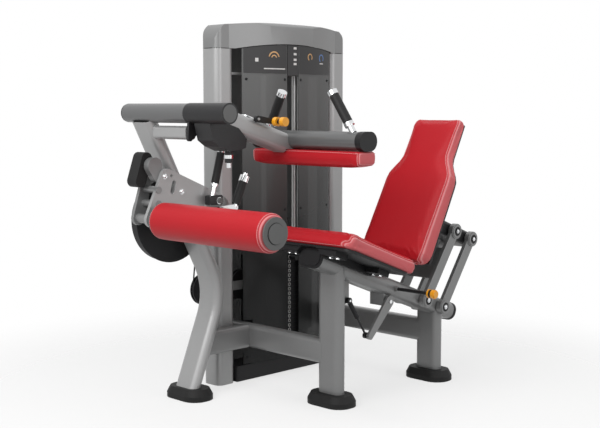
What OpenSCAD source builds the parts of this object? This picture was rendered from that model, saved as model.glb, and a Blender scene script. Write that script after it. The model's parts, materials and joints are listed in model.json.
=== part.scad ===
// Leg machine with a thigh hold-down pad, a roller arm and a weight tower.
// Millimetres, +Z up. The user faces -X and the tower stands at +Y, on the user's right.

/* [Tower] */
// outer width of the tower along X
tower_w = 808; // [796:1:816]
// height of the posts
post_h = 1470; // [1440:5:1500]
// width of a post along X
post_w = 100; // [96:1:104]
// depth of a post along Y
post_d = 106; // [100:1:112]
// radius of the bowed shields
bow_r = 980; // [960:5:1000]
// width of the slot between the shields
slot_w = 73; // [60:1:80]
// rise of the top cap above the posts
cap_rise = 118; // [110:2:130]

/* [Weight stack] */
// number of plates, the head plate included
plate_count = 17; // [14:1:17]
// height from one plate to the next
plate_pitch = 21; // [18:0.5:21]
// length of a plate along X
plate_w = 300; // [280:5:304]
// depth of a plate along Y
plate_d = 166; // [150:2:168]
// diameter of the guide rods
guide_d = 30; // [24:1:32]
// diameter of the lift cable
cable_d = 6.4; // [5:0.2:7]

/* [Frame] */
// wide side of the oval leg tubes
leg_w = 124; // [110:1:126]
// narrow side of the oval leg tubes
leg_t = 55; // [48:1:60]
// height of the cross beams
beam_h = 104; // [90:1:110]
// width of the cross beams
beam_w = 56; // [48:1:58]
// height of the rubber feet
foot_h = 48; // [42:1:54]
// diameter of the top bar
top_bar_d = 76; // [66:1:80]

/* [Seat] */
// slope of the rail and the seat
rail_tilt = 20.5; // [19:0.5:21]
// width of the seat pad
seat_w = 500; // [460:5:510]
// depth of the seat pad
seat_depth = 428; // [400:4:432]
// thickness of the seat pad
seat_t = 68; // [56:1:70]

/* [Back] */
// lean of the back board from upright
back_lean = 27.2; // [26.4:0.2:28.4]
// height of the back pad along its face
back_h = 690; // [660:5:700]
// width of the lower back pad
back_w = 376; // [350:2:380]
// width of the head end of the back pad
head_w = 272; // [256:2:280]
// thickness of the back pad at its foot
back_t = 84; // [74:1:86]
// thickness of the back pad at its head
head_t = 48; // [44:1:56]
// length of the parallel links
link_len = 350; // [345:1:352]
// lean of the links from upright
link_lean = 35; // [34:0.5:36]

/* [Thigh pad] */
// length of the thigh pad
thigh_len = 600; // [580:5:620]
// depth of the thigh pad
thigh_depth = 106; // [96:2:120]
// thickness of the thigh pad
thigh_t = 62; // [54:1:64]
// slope of the thigh arm
thigh_slope = 17.4; // [17:0.2:18]

/* [Roller] */
// outer diameter of the roller
roller_d = 152; // [136:2:156]
// length of the roller
roller_len = 638; // [620:2:640]
// thickness of the arm plate
arm_plate_t = 16; // [12:0.5:17]

/* [Hidden] */
$fn = 72;
running = 0.05;
apart = 0.6;
snug = 0.1;
wall = 4;

// Tower
tower_x = 262;
tower_y = 598;
post_r = 28;
post_dx = (tower_w - post_w) / 2;
post_front = tower_y - post_d / 2;
inner_left = tower_x - tower_w / 2 + post_w;
inner_right = tower_x + tower_w / 2 - post_w;
shield_t = 4;
shield_inset = 132;
shield_half = tower_w / 2 - shield_inset;
plinth_h = 72;
shield_z0 = plinth_h + 8;
rear_shield_z0 = 12;
notch_gap = 8;
arch_rise = 26;
arch_gap = 3;
shield_z1 = post_h + arch_rise;
bow_apex = 108;
bow_dy = bow_r - bow_apex;
cap_corner = 100;
cap_edge = 40;
cap_arch = 4000;
cap_skin = 5;
cap_over = 3;
placard_t = 1;
placard_h = 112;
plinth_d = 122;

// Weight stack
stack_z = 190;
plate_gap = 0.5;
guide_dx = 116;
stem_d = 30;
stem_bore = 14;
carriage_t = 34;
pin_d = 10;
pin_plate = plate_count - 1;
stack_top = stack_z + plate_pitch * (plate_count - 1);
head_top = stack_top + carriage_t;
stem_top = head_top + 36;
pin_z = stack_z + plate_pitch * (pin_plate + 0.5);
plate_front = tower_y - plate_d / 2;

// Exercise arm
pivot_x = -280;
pivot_z = 780;
shaft_d = 40;
hub_r = 85;
arm_near = 400;
ladder_y = 489;
bumper_y = 446;
bumper_low = [-622, 928];
bumper_high = [-592, 1016];
bumper_r = 25;
ladder_t = 16;
roller_x = -602;
roller_z = 778;
roller_axle_d = 38;
roller_y1 = 346;
roller_y0 = roller_y1 - roller_len;
corner_x = -527;
corner_z = 945;
corner_r = 30;
boss_r = 32;
rung_d = 28;
rungs = [[-573, 838], [-572, 893]];
rom_y = 356;
peg_x = -300;
peg_z = 838;
peg_d = 29;

// Cable and pulleys
cable_r = cable_d / 2;
cam_r = 77.5;
cam_w = 26;
axle_d = 16;
pulley_w = 22;
pulley_rim = 6;
pulley_gap = 11;
groove = 1.4;
post_pulley_out = 36;
post_pulley_r = 62;
post_pulley = [tower_x - tower_w / 2 - post_pulley_out, 430, post_pulley_r];
lower_room = tower_w / 2 - post_w - plate_w / 2;
lower_pulley_r = lower_room / 2 - pulley_gap - pulley_rim;
lower_pulley = [inner_left + pulley_gap + pulley_rim + lower_pulley_r,
                post_pulley[1] - post_pulley_r + lower_pulley_r, lower_pulley_r];
top_pulley_r = (tower_x - lower_pulley[0] - lower_pulley_r) / 2;
ceiling_t = 35;
top_pulley_z = post_h + cap_rise - ceiling_t - 4 - pulley_rim - top_pulley_r;
top_pulley = [tower_x - top_pulley_r, top_pulley_z, top_pulley_r];
rod_plate_t = 10;
rod_top = top_pulley_z - top_pulley_r - pulley_rim - 1;
cable_hole_d = 16;
cable_sides = 10;
cable_step = 12;

// Front leg
leg_y = 497;
leg_foot = [-352, foot_h];
leg_bend = [-196, 442];
leg_top = [-560, 1157];
leg_bend_r = 260;
bar_x = -560;
bar_z = 1195;
bar_far = 602;
bar_shaft_d = 50;
sleeve_y0 = -13;
sleeve_y1 = 214;
guard_x = -365;
guard_z = 752;
guard_r = 178;
guard_y0 = 578;
guard_y1 = 622;

// Seat and back
rail_w = 120;
rail_t = 76;
rail_r = 34;
cap_lip = 3;
cap_r = 36;
rail_z = 573;
rail_front = -118;
rail_rear = 740;
rear_leg_x = 640;
beam_z = 165;
board_t = 10;
board_gap = 1;
seat_x = 28;
seat_taper = 0.985;
rail_slope = tan(rail_tilt);
back_x = 408;
back_z = 541;
seat_arm_h = 24;
seat_arm_w = 70;
seat_arm_at = [-150, 120];
link_t = 18;
link_end_t = 24;
link_end_r = 34;
link_in = rail_w / 2 + 4;
link_r = 25;
pin_rail_d = 20;
front_pivot_x = 520;
pivot_gap = 128.5;
carrier_t = 66;
carrier_w = 110;
release_x = 334;
rod_d = 12;
knob_y = -250;
gas_hub = [301, 396];
gas_end = [180, 264];
gas_top = [72, 425];

// Thigh assembly
thigh_y0 = 85;
thigh_arm_w = 90;
thigh_arm_t = 78;
thigh_arm_r = 22;
beam_x = -118;
thigh_beam_z = 1089;
thigh_beam_w = 96;
thigh_beam_t = 72;
thigh_beam_half = 272;
cap_len = 28;
pad_drop = 2;
pad_room = 4;
grip_d = 38;
fin_y = 194;
fin_t = 12;
fin_lobe = [-577, 1100];
fin_lobe_r = 11;
fin_root_r = 20;
fin_tail = [-500, 1152];
bracket_box = [[-575, 1172], [-573, 1150], [-558, 1093], [-524, 1070], [-474, 1051], [-423, 1055],
               [-392, 1062], [-387, 1097], [-430, 1140], [-520, 1190]];
lever_pin = [-342, 1173];
lever_end = [-256, 1162];
lever_gap = 3;
lever_t = 14;

// Shared helpers
module placed() {
    translate([-frame_x, -frame_y, 0]) children();
}

module round_rect(w, d, r) {
    square([w - 2 * r, d], center = true);
    square([w, d - 2 * r], center = true);
    for (sx = [-1, 1]) {
        for (sy = [-1, 1]) {
            translate([sx * (w / 2 - r), sy * (d / 2 - r)]) circle(r);
        }
    }
}

// Wall of a tube with a rounded section
module rect_tube(w, d, r) {
    difference() {
        round_rect(w, d, r);
        round_rect(w - 2 * wall, d - 2 * wall, r - wall);
    }
}

// Oval with its long side w along the first axis
module oval(w, d) {
    square([w - d, d], center = true);
    for (s = [-1, 1]) {
        translate([s * (w - d) / 2, 0]) circle(d / 2);
    }
}

// Extrudes a section from p to q, given as [x, z], in the plane y. Its first axis stays in that plane
module run_xz(p, q, y) {
    length = norm(q - p);
    translate([p[0], y, p[1]])
        rotate([0, atan2(q[0] - p[0], q[1] - p[1]), 0])
            linear_extrude(length) children();
}

// Round bar between two points in space
module rod(p, q, d) {
    v = q - p;
    length = norm(v);
    translate(p)
        rotate([0, acos(v[2] / length), atan2(v[1], v[0])])
            cylinder(d = d, h = length);
}

// Round bar along Y at x, z
module bar_y(x, z, d, y0, y1) {
    translate([x, y0, z]) rotate([-90, 0, 0]) cylinder(d = d, h = y1 - y0);
}

// Extrudes an outline drawn in x, z along Y
module plate_y(y0, y1) {
    translate([0, y1, 0]) rotate([90, 0, 0]) linear_extrude(y1 - y0) children();
}

// Straight-sided web that touches two circles
module web(a, ra, b, rb) {
    d = b - a;
    base = atan2(d[1], d[0]);
    turn = acos((ra - rb) / norm(d));
    up = [cos(base + turn), sin(base + turn)];
    down = [cos(base - turn), sin(base - turn)];
    polygon([a + ra * up, a + ra * down, b + rb * down, b + rb * up]);
}

module two_disc_link(a, ra, b, rb) {
    translate(a) circle(ra);
    translate(b) circle(rb);
    web(a, ra, b, rb);
}

// Surface through rings of points, closed at both ends
module loft(rings) {
    n = len(rings[0]);
    m = len(rings);
    points = [for (r = rings) each r];
    sides = [for (i = [0 : m - 2]) for (j = [0 : n - 1])
        let (k = (j + 1) % n)
        each [[i * n + j, i * n + k, (i + 1) * n + k], [i * n + j, (i + 1) * n + k, (i + 1) * n + j]]];
    middles = [for (r = [rings[0], rings[m - 1]]) (r[0] + r[floor(n / 2)]) / 2];
    first = [for (j = [0 : n - 1]) [(j + 1) % n, j, m * n]];
    last = [for (j = [0 : n - 1]) [(m - 1) * n + j, (m - 1) * n + (j + 1) % n, m * n + 1]];
    polyhedron(concat(points, middles), concat(sides, first, last), convexity = 4);
}

// Half of a cushion's cross-section, from the middle of its back to the middle of its face:
// drawn-in sides, a stitched groove near the face, and a crown. Across and up, both 0 to 1
half_section = [[0.5, 0], [0.9, 0], [0.965, 0.06], [0.995, 0.26], [1, 0.5], [0.985, 0.7], [0.955, 0.745],
                [0.972, 0.79], [0.945, 0.885], [0.88, 0.945], [0.7, 0.98], [0.4, 0.997], [0, 1]];
section_last = len(half_section) - 1;
full_section = concat(half_section,
    [for (i = [section_last - 1 : -1 : 0]) [-half_section[i][0], half_section[i][1]]]);

function ring(s, half, thick, low) = [for (p = full_section) [half * p[0], s, low + thick * p[1]]];

// Rounding of a cushion's end, from 0 at the tip to 1 at the depth of the rounding
function end_round(t, depth, power) =
    t >= depth ? 1 : pow(1 - pow(1 - t / depth, power), 1 / power);

// Two spans of even steps with closer steps at each end, from 0 to 1
function cushion_steps(n) = [for (i = [0 : n]) (1 - cos(180 * i / n)) / 2];

// Wide at the seat, narrow at the head
function back_half(s) =
    let (start = 385, finish = 505)
    s < start ? back_w / 2 :
    s > finish ? head_w / 2 :
    back_w / 2 + (head_w - back_w) / 2 * (1 - cos(180 * (s - start) / (finish - start))) / 2;

function frame_rail(x) = rail_z - rail_slope * x;

module on_rail(x) {
    translate([x, 0, frame_rail(x)]) rotate([0, rail_tilt, 0]) children();
}

module on_back() {
    translate([back_x, 0, back_z]) rotate([0, back_lean, 0]) children();
}

// Points of the parallel links
front_pivot = [front_pivot_x, frame_rail(front_pivot_x)];
rear_pivot = front_pivot + pivot_gap * [cos(rail_tilt), -sin(rail_tilt)];
link_vector = link_len * [sin(link_lean), cos(link_lean)];
front_top = front_pivot + link_vector;
rear_top = rear_pivot + link_vector;

// The model is drawn about the front seat leg, then moved so the middle of its box is the origin
carrier_end = 34;
disc_out = 11;
machine_front = roller_x - roller_d / 2;
machine_rear = rear_top[0] + carrier_end * cos(rail_tilt) + carrier_t / 2 * sin(rail_tilt);
machine_near = roller_y0 - disc_out;
machine_far = tower_y + bow_apex + cap_over;
frame_x = (machine_front + machine_rear) / 2;
frame_y = (machine_near + machine_far) / 2;

// Tower
module tower_posts() {
    slot_h = 2 * post_pulley[2] + 26;
    color([0.64, 0.65, 0.66]) placed() difference() {
        for (s = [-1, 1]) {
            translate([tower_x + s * post_dx, tower_y, 0]) linear_extrude(post_h) rect_tube(post_w, post_d, post_r);
        }
        translate([tower_x - tower_w / 2, tower_y, post_pulley[1]])
            cube([3 * wall, pulley_w + 6, slot_h], center = true);
        translate([inner_left, tower_y, post_pulley[1] - post_pulley[2]])
            rotate([0, 90, 0]) cylinder(d = 20, h = 3 * wall, center = true);
    }
}

// Outline in plan of a bowed panel as deep as the shields plus a margin
module bow_plan(margin, half) {
    intersection() {
        translate([0, bow_dy]) circle(bow_r + margin, $fn = 200);
        translate([0, -bow_dy]) circle(bow_r + margin, $fn = 200);
        square([2 * half, 4 * bow_apex], center = true);
    }
}

module cap_front(rise, half, corner) {
    intersection() {
        translate([0, rise - post_h / 2]) round_rect(2 * half, post_h, corner);
        translate([0, rise - cap_arch]) circle(cap_arch, $fn = 200);
    }
}

// Space under the cap's arched edge, from the height of the post tops
module arch(gap) {
    half = inner_right - tower_x;
    r = (pow(half, 2) + pow(arch_rise, 2)) / (2 * arch_rise);
    rotate([90, 0, 0]) linear_extrude(6 * bow_apex, center = true)
        translate([0, arch_rise - r]) circle(r - gap, $fn = 200);
}

module tower_cap() {
    color([0.62, 0.63, 0.64]) placed() translate([tower_x, tower_y, post_h]) difference() {
        intersection() {
            linear_extrude(cap_rise) union() {
                round_rect(tower_w, post_d, post_r);
                bow_plan(cap_over, post_dx);
            }
            rotate([90, 0, 0])
                linear_extrude(4 * bow_apex, center = true) cap_front(cap_rise, tower_w / 2, cap_corner);
            rotate([90, 0, 90]) linear_extrude(2 * tower_w, center = true)
                translate([0, cap_rise - post_h / 2]) round_rect(2 * (bow_apex + cap_over), post_h, cap_edge);
        }
        arch(0);
        translate([0, 0, -1])
            linear_extrude(cap_rise - ceiling_t + 1) bow_plan(cap_over - cap_skin, post_dx - post_w / 2 - cap_skin);
    }
}

module shield(side, z0, z1, from, to, t, lift) {
    intersection() {
        difference() {
            translate([0, bow_dy, z0]) cylinder(r = bow_r + lift + t, h = z1 - z0, $fn = 200);
            translate([0, bow_dy, z0 - 1]) cylinder(r = bow_r + lift, h = z1 - z0 + 2, $fn = 200);
        }
        translate([min(side * from, side * to), -2 * bow_apex, z0])
            cube([abs(to - from), 2 * bow_apex, z1 - z0]);
        translate([0, 0, post_h]) arch(arch_gap);
    }
}

module shield_pair(z0) {
    for (side = [-1, 1]) {
        shield(side, z0, shield_z1, slot_w / 2, shield_half, shield_t, -shield_t);
    }
}

module front_shields() {
    color([0.3, 0.31, 0.33, 0.6]) placed() difference() {
        translate([tower_x, tower_y, 0]) shield_pair(shield_z0);
        translate([-beam_w / 2 - notch_gap, 0, beam_z - notch_gap])
            cube([beam_w + 2 * notch_gap, tower_y, beam_h + 2 * notch_gap]);
    }
}

module rear_shields() {
    color([0.3, 0.31, 0.33, 0.6]) placed() translate([tower_x, tower_y, 0]) rotate(180)
        shield_pair(rear_shield_z0);
}

module placards() {
    low = post_h - placard_h + 8;
    inner = slot_w / 2 + 4;
    strip_half = slot_w / 2 - 3;
    color([0.12, 0.12, 0.13]) placed() translate([tower_x, tower_y, 0]) {
        for (side = [-1, 1]) {
            shield(side, low, shield_z1, inner, inner + 226, placard_t, 0);
        }
        shield(1, low - 8, shield_z1, -strip_half, strip_half, shield_t, -shield_t);
    }
}

module plinth() {
    color([0.08, 0.08, 0.09]) placed()
        translate([(inner_left + inner_right) / 2, tower_y, 3]) linear_extrude(plinth_h - 3)
            round_rect(inner_right - inner_left - 1, plinth_d, 8);
}

// Weight stack
module guide_rods() {
    color([0.75, 0.76, 0.78]) placed() for (s = [-1, 1]) {
        translate([tower_x + s * guide_dx, tower_y, plinth_h])
            cylinder(d = guide_d, h = rod_top - plinth_h);
    }
}

module stack_bumpers() {
    color([0.06, 0.06, 0.06]) placed() for (s = [-1, 1]) {
        translate([tower_x + s * guide_dx, tower_y, plinth_h]) difference() {
            cylinder(d = guide_d + 34, h = stack_z - plinth_h);
            translate([0, 0, -1]) cylinder(d = guide_d + 1, h = stack_z - plinth_h + 2);
        }
    }
}

module weight_plate(t, guide_gap) {
    difference() {
        linear_extrude(t) round_rect(plate_w, plate_d, 6);
        translate([0, 0, -1]) cylinder(d = stem_d + 2, h = t + 2);
        for (s = [-1, 1]) {
            translate([s * guide_dx, 0, -1]) cylinder(d = guide_d + 2 * guide_gap, h = t + 2);
        }
        translate([0, -plate_d / 2 - 1, plate_pitch / 2])
            rotate([-90, 0, 0]) cylinder(d = pin_d + 2, h = plate_d / 2);
    }
}

module resting_plates() {
    color([0.1, 0.1, 0.11]) placed() for (i = [0 : pin_plate - 1]) {
        translate([tower_x, tower_y, stack_z + i * plate_pitch]) weight_plate(plate_pitch - plate_gap, 1);
    }
}

// Head plate, the plate that the pin picks up and the stem that hangs from the head
module weight_head() {
    color([0.14, 0.14, 0.15]) placed() translate([tower_x, tower_y, 0]) {
        difference() {
            union() {
                translate([0, 0, stack_z + pin_plate * plate_pitch]) weight_plate(plate_pitch, 1);
                translate([0, 0, stack_top]) linear_extrude(carriage_t) round_rect(plate_w, plate_d - 20, 10);
                translate([0, 0, stack_z + 6]) cylinder(d = stem_d, h = stem_top - stack_z - 6);
                translate([0, 0, head_top]) cylinder(d = stem_d + 18, h = stem_top - head_top - 8);
            }
            translate([0, 0, stack_z]) cylinder(d = stem_bore, h = stem_top);
            for (s = [-1, 1]) {
                translate([s * guide_dx, 0, stack_top - 1])
                    cylinder(d = guide_d + 2 * running, h = carriage_t + 2);
            }
            for (i = [0 : pin_plate]) {
                translate([0, 0, stack_z + (i + 0.5) * plate_pitch])
                    rotate([90, 0, 0]) cylinder(d = pin_d + 2 * running, h = plate_d);
            }
        }
    }
}

module selector_pin() {
    knob_r = 11;
    color([0.9, 0.62, 0.05]) placed() translate([tower_x, 0, pin_z]) {
        bar_y(0, 0, pin_d, plate_front - 18, tower_y - stem_bore / 2 - 1);
        bar_y(0, 0, 2 * knob_r, plate_front - 48, plate_front - 18);
        bar_y(0, 0, 2 * knob_r - 6, plate_front - 18, plate_front - 10);
    }
}

// Cable and pulleys
module pulley_body(p, bore) {
    rim = p[2] + pulley_rim;
    seat_r = p[2] - cable_r - groove;
    plate_y(tower_y - pulley_w / 2, tower_y + pulley_w / 2) difference() {
        translate([p[0], p[1]]) circle(seat_r);
        translate([p[0], p[1]]) circle(bore / 2);
    }
    for (s = [-1, 1]) {
        y = tower_y + s * (pulley_w / 2 - 3);
        plate_y(y - 3, y + 3) difference() {
            translate([p[0], p[1]]) circle(rim);
            translate([p[0], p[1]]) circle(bore / 2);
        }
    }
}

module top_pulley() {
    color([0.07, 0.07, 0.08]) placed() pulley_body(top_pulley, axle_d + 2 * running);
}

module lower_pulley() {
    color([0.07, 0.07, 0.08]) placed() pulley_body(lower_pulley, axle_d + 2 * running);
}

module post_pulley() {
    color([0.07, 0.07, 0.08]) placed() pulley_body(post_pulley, axle_d + 2 * running);
}

// Cross plate that holds the rod tops, the top pulley's stand, two yokes on the front post and three axles
module pulley_mounts() {
    cheek_t = 5;
    cheek_y = pulley_w / 2 + 3;
    plate_w_y = 68;
    color([0.45, 0.46, 0.47]) placed() {
        difference() {
            translate([inner_left, tower_y - plate_w_y / 2, rod_top - rod_plate_t])
                cube([inner_right - inner_left, plate_w_y, rod_plate_t]);
            for (s = [-1, 1]) {
                translate([tower_x + s * guide_dx, tower_y, plinth_h]) cylinder(d = guide_d, h = post_h);
                translate([top_pulley[0] + s * top_pulley_r, tower_y, plinth_h])
                    cylinder(d = cable_hole_d, h = post_h);
            }
        }
        for (s = [-1, 1]) {
            y0 = tower_y + (s > 0 ? cheek_y : -cheek_y - cheek_t);
            difference() {
                translate([top_pulley[0] - 20, y0, rod_top - 0.01])
                    cube([40, cheek_t, top_pulley[1] - rod_top + 24]);
                bar_y(top_pulley[0], top_pulley[1], axle_d, y0 - 1, y0 + cheek_t + 1);
            }
            difference() {
                translate([inner_left, y0, lower_pulley[1] - 20])
                    cube([lower_pulley[0] - inner_left + 22, cheek_t, 40]);
                bar_y(lower_pulley[0], lower_pulley[1], axle_d, y0 - 1, y0 + cheek_t + 1);
            }
            difference() {
                translate([post_pulley[0] - 18, y0, post_pulley[1] - 18])
                    cube([tower_x - tower_w / 2 - post_pulley[0] + 18, cheek_t, 36]);
                bar_y(post_pulley[0], post_pulley[1], axle_d, y0 - 1, y0 + cheek_t + 1);
            }
        }
        for (p = [top_pulley, lower_pulley, post_pulley]) {
            bar_y(p[0], p[1], axle_d, tower_y - 22, tower_y + 22);
        }
    }
}

// Points [x, z] of the cable around a pulley, from angle a over the given turn
function cable_arc(p, a, turn) =
    let (n = ceil(abs(turn) / cable_step))
    [for (i = [0 : n]) [p[0] + p[2] * cos(a + turn * i / n), p[1] + p[2] * sin(a + turn * i / n)]];

// Round tube through points of the tower's middle plane
module cable_run(route) {
    last = len(route) - 1;
    rings = [for (i = [0 : last])
        let (v = route[min(i + 1, last)] - route[max(i - 1, 0)],
             side = [v[1], -v[0]] / norm(v))
        [for (k = [0 : cable_sides - 1])
            let (a = 360 * k / cable_sides)
            [route[i][0] + cable_r * cos(a) * side[0], tower_y - cable_r * sin(a),
             route[i][1] + cable_r * cos(a) * side[1]]]];
    loft(rings);
}

module lift_cable() {
    cam = [pivot_x, pivot_z, cam_r];
    span = [post_pulley[0] - cam[0], post_pulley[1] - cam[1]];
    heading = atan2(span[1], span[0]) - asin((cam[2] + post_pulley[2]) / norm(span));
    color([0.05, 0.05, 0.05]) placed() cable_run(concat(
        cable_arc(cam, heading + 160, -70),
        cable_arc(post_pulley, heading - 90, -heading),
        cable_arc(lower_pulley, -90, 90),
        cable_arc(top_pulley, 180, -180),
        [[tower_x, stem_top - 30]]));
}

// Front leg with its brace
module leg_run(p, q) {
    run_xz(p, q, leg_y) rotate(90) oval(leg_w, leg_t);
}

// Outline of the leg tube, drawn in by an inset: across the bend first, along Y second
function leg_outline(n, inset) = [for (i = [0 : n - 1])
    let (a = -360 * (i + 0.5) / n, r = leg_t / 2 - inset)
    [r * cos(a), r * sin(a) + (sin(a) > 0 ? 1 : -1) * (leg_w - leg_t) / 2]];

function leg_ring(p, heading, inset) = [for (q = leg_outline(40, inset))
    [p[0] + q[0] * sin(heading), leg_y + q[1], p[1] - q[0] * cos(heading)]];

module front_leg() {
    lower = leg_bend - leg_foot;
    upper = leg_top - leg_bend;
    lower_a = atan2(lower[1], lower[0]);
    upper_a = atan2(upper[1], upper[0]);
    turn = upper_a - lower_a;
    reach = leg_bend_r * tan(turn / 2);
    p0 = leg_bend - reach * lower / norm(lower);
    middle = p0 + leg_bend_r * [-sin(lower_a), cos(lower_a)];
    steps = 9;
    start = leg_foot - 60 * lower / norm(lower);
    finish = leg_top + 14 * upper / norm(upper);
    brace_z = 1120;
    brace_y = 236;
    color([0.62, 0.63, 0.64]) placed() {
        difference() {
            leg_loft(start, middle, finish, lower_a, turn, steps, 0);
            leg_loft(start, middle, finish, lower_a, turn, steps, wall);
            bar_y(bar_x, bar_z, top_bar_d, leg_y - leg_w, leg_y + leg_w);
            translate([leg_foot[0], leg_y, foot_h - 100]) cube([400, 300, 200], center = true);
        }
        translate([bar_x + 18, brace_y, brace_z]) rotate([-90, 0, 0])
            linear_extrude(leg_y - leg_w / 2 + 3 - brace_y) round_rect(50, 52, 14);
    }
}

// Bent leg from start to finish, or its hollow when the inset is the wall
module leg_loft(start, middle, finish, heading, turn, steps, inset) {
    more = inset > 0 ? 20 : 0;
    bend = [for (i = [0 : steps])
        let (a = heading + turn * i / steps)
        leg_ring(middle + leg_bend_r * [sin(a), -cos(a)], a, inset)];
    last = heading + turn;
    loft(concat([leg_ring(start - more * [cos(heading), sin(heading)], heading, inset)], bend,
        [leg_ring(finish + more * [cos(last), sin(last)], last, inset)]));
}

module foot(x, y) {
    w = 138;
    d = 216;
    shrink = 13;
    translate([x, y, 0]) hull() {
        linear_extrude(foot_h * 0.45) round_rect(w, d, 62, $fn = 40);
        translate([0, 0, foot_h - 1]) linear_extrude(1) round_rect(w - 2 * shrink, d - 2 * shrink, 52, $fn = 40);
    }
}

module rubber_feet() {
    color([0.06, 0.06, 0.06]) placed() {
        foot(0, 0);
        foot(rear_leg_x, 0);
        foot(leg_foot[0] + 8, leg_y);
    }
}

module beam_section() {
    rect_tube(beam_w, beam_h, 20);
}

module base_beam() {
    z = beam_z + beam_h / 2;
    color([0.62, 0.63, 0.64]) placed() difference() {
        translate([-330, leg_y, z]) rotate([0, 90, 0]) linear_extrude(330 - beam_w / 2) rotate(90) beam_section();
        leg_run(leg_foot - [20, 60], leg_bend);
        translate([leg_foot[0], leg_y, leg_foot[1]])
            rotate([0, atan2(leg_bend[0] - leg_foot[0], leg_bend[1] - leg_foot[1]), 0])
                translate([-300, -leg_w, -foot_h]) cube([300, 2 * leg_w, leg_bend[1]]);
    }
}

module seat_leg(x) {
    translate([x, 0, foot_h]) linear_extrude(frame_rail(x) - foot_h) rotate(90) oval(leg_w, leg_t);
}

module rail_run() {
    along = (rail_rear - rail_front) / cos(rail_tilt);
    on_rail(rail_front) rotate([0, 90, 0]) linear_extrude(along) rotate(90) children();
}

module rail_solid() {
    rail_run() round_rect(rail_w, rail_t, rail_r);
}

module cross_beams() {
    z = beam_z + beam_h / 2;
    color([0.62, 0.63, 0.64]) placed() difference() {
        union() {
            translate([0, 0, z]) rotate([-90, 0, 0]) linear_extrude(640) beam_section();
            translate([rear_leg_x, 0, z]) rotate([-90, 0, 0]) linear_extrude(post_front) beam_section();
        }
        seat_leg(0);
        seat_leg(rear_leg_x);
        for (x = [0, rear_leg_x]) {
            translate([x - 100, -1, 0]) cube([200, leg_w / 4, 600]);
        }
    }
}

module seat_legs() {
    color([0.62, 0.63, 0.64]) placed() difference() {
        union() {
            seat_leg(0);
            seat_leg(rear_leg_x);
        }
        rail_solid();
        bar_y(rear_pivot[0], rear_pivot[1], pin_rail_d, -leg_w, leg_w);
        for (x = [0, rear_leg_x]) {
            translate([x, 0, 0]) linear_extrude(rail_z + rail_w) rotate(90) oval(leg_w - 2 * wall, leg_t - 2 * wall);
        }
    }
}

module top_bar() {
    color([0.66, 0.67, 0.68]) placed() {
        difference() {
            bar_y(bar_x, bar_z, top_bar_d, sleeve_y1 + 1, bar_far);
            bar_y(bar_x, bar_z, top_bar_d - 2 * wall, sleeve_y1 + 1 + 2 * wall, bar_far + 1);
        }
        bar_y(bar_x, bar_z, bar_shaft_d, sleeve_y0 + 8, sleeve_y1 + 1);
    }
}

module bearing_housing() {
    y0 = leg_y - leg_w / 2 - 6;
    y1 = leg_y + leg_w / 2;
    color([0.5, 0.51, 0.52]) placed() difference() {
        union() {
            bar_y(pivot_x, pivot_z, 96, y0, y1);
            translate([pivot_x - 90, leg_y - 50, pivot_z - 42]) cube([90, 100, 84]);
        }
        bar_y(pivot_x, pivot_z, 62, y0 - 1, y1 + 1);
        leg_run(leg_bend, leg_top);
        translate([pivot_x - 290, leg_y - 100, pivot_z - 100]) cube([170, 200, 200]);
    }
}

module arm_bearings() {
    y0 = leg_y - leg_w / 2 - 6;
    y1 = leg_y + leg_w / 2;
    long = 30;
    color([0.72, 0.72, 0.73]) placed() for (y = [y0, y1 - long]) {
        difference() {
            bar_y(pivot_x, pivot_z, 62, y, y + long);
            bar_y(pivot_x, pivot_z, shaft_d + 2 * running, y - 1, y + long + 1);
        }
    }
}

// Drum cover open on the tower side, with a tab to the front post
module cam_guard() {
    skin = 3;
    tab_y = guard_y1 - 9;
    post_face = tower_x - tower_w / 2;
    rim_x = guard_x + sqrt(pow(guard_r, 2) - pow(pivot_z - guard_z, 2));
    color([0.05, 0.05, 0.05]) placed() difference() {
        union() {
            difference() {
                bar_y(guard_x, guard_z, 2 * guard_r, guard_y0, guard_y1);
                bar_y(guard_x, guard_z, 2 * (guard_r - skin), guard_y0 + skin, guard_y1 + 1);
            }
            difference() {
                bar_y(guard_x, guard_z, 2 * guard_r + 12, guard_y0, guard_y0 + skin + 3);
                bar_y(guard_x, guard_z, 2 * (guard_r - skin), guard_y0 - 1, guard_y1 + 1);
            }
            translate([rim_x - skin, tab_y, pivot_z - 30]) cube([post_face - rim_x + skin, 8, 60]);
        }
        bar_y(pivot_x, pivot_z, shaft_d + 14, guard_y0 - 1, guard_y0 + skin + 4);
        translate([pivot_x + 40, tower_y - 9, guard_z - guard_r]) cube([50, 18, guard_r - 20]);
    }
}

// Seat
module seat_rail() {
    lug_x = gas_hub[0];
    color([0.62, 0.63, 0.64]) placed() difference() {
        union() {
            rail_run() rect_tube(rail_w, rail_t, rail_r);
            bar_y(release_x, frame_rail(release_x), 26, -rail_w / 2 - 14, -rail_w / 2 + 4);
            difference() {
                union() {
                    translate([lug_x - 22, -38, gas_hub[1] - 18]) cube([44, 76, frame_rail(lug_x) - gas_hub[1]]);
                    translate([gas_top[0] - 16, -14, gas_top[1] - 14])
                        cube([32, 8, frame_rail(gas_top[0]) - gas_top[1]]);
                }
                rail_run() round_rect(rail_w - wall, rail_t - wall, rail_r - wall / 2);
            }
        }
        bar_y(front_pivot[0], front_pivot[1], pin_rail_d, -rail_w, rail_w);
        bar_y(rear_pivot[0], rear_pivot[1], pin_rail_d, -rail_w, rail_w);
        bar_y(release_x, frame_rail(release_x), rod_d + 2 * running, -rail_w / 2 - 15, -10);
        bar_y(lug_x, gas_hub[1], 16, -rail_w, rail_w);
        bar_y(gas_top[0], gas_top[1], 10, -rail_w, rail_w);
    }
}

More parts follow.
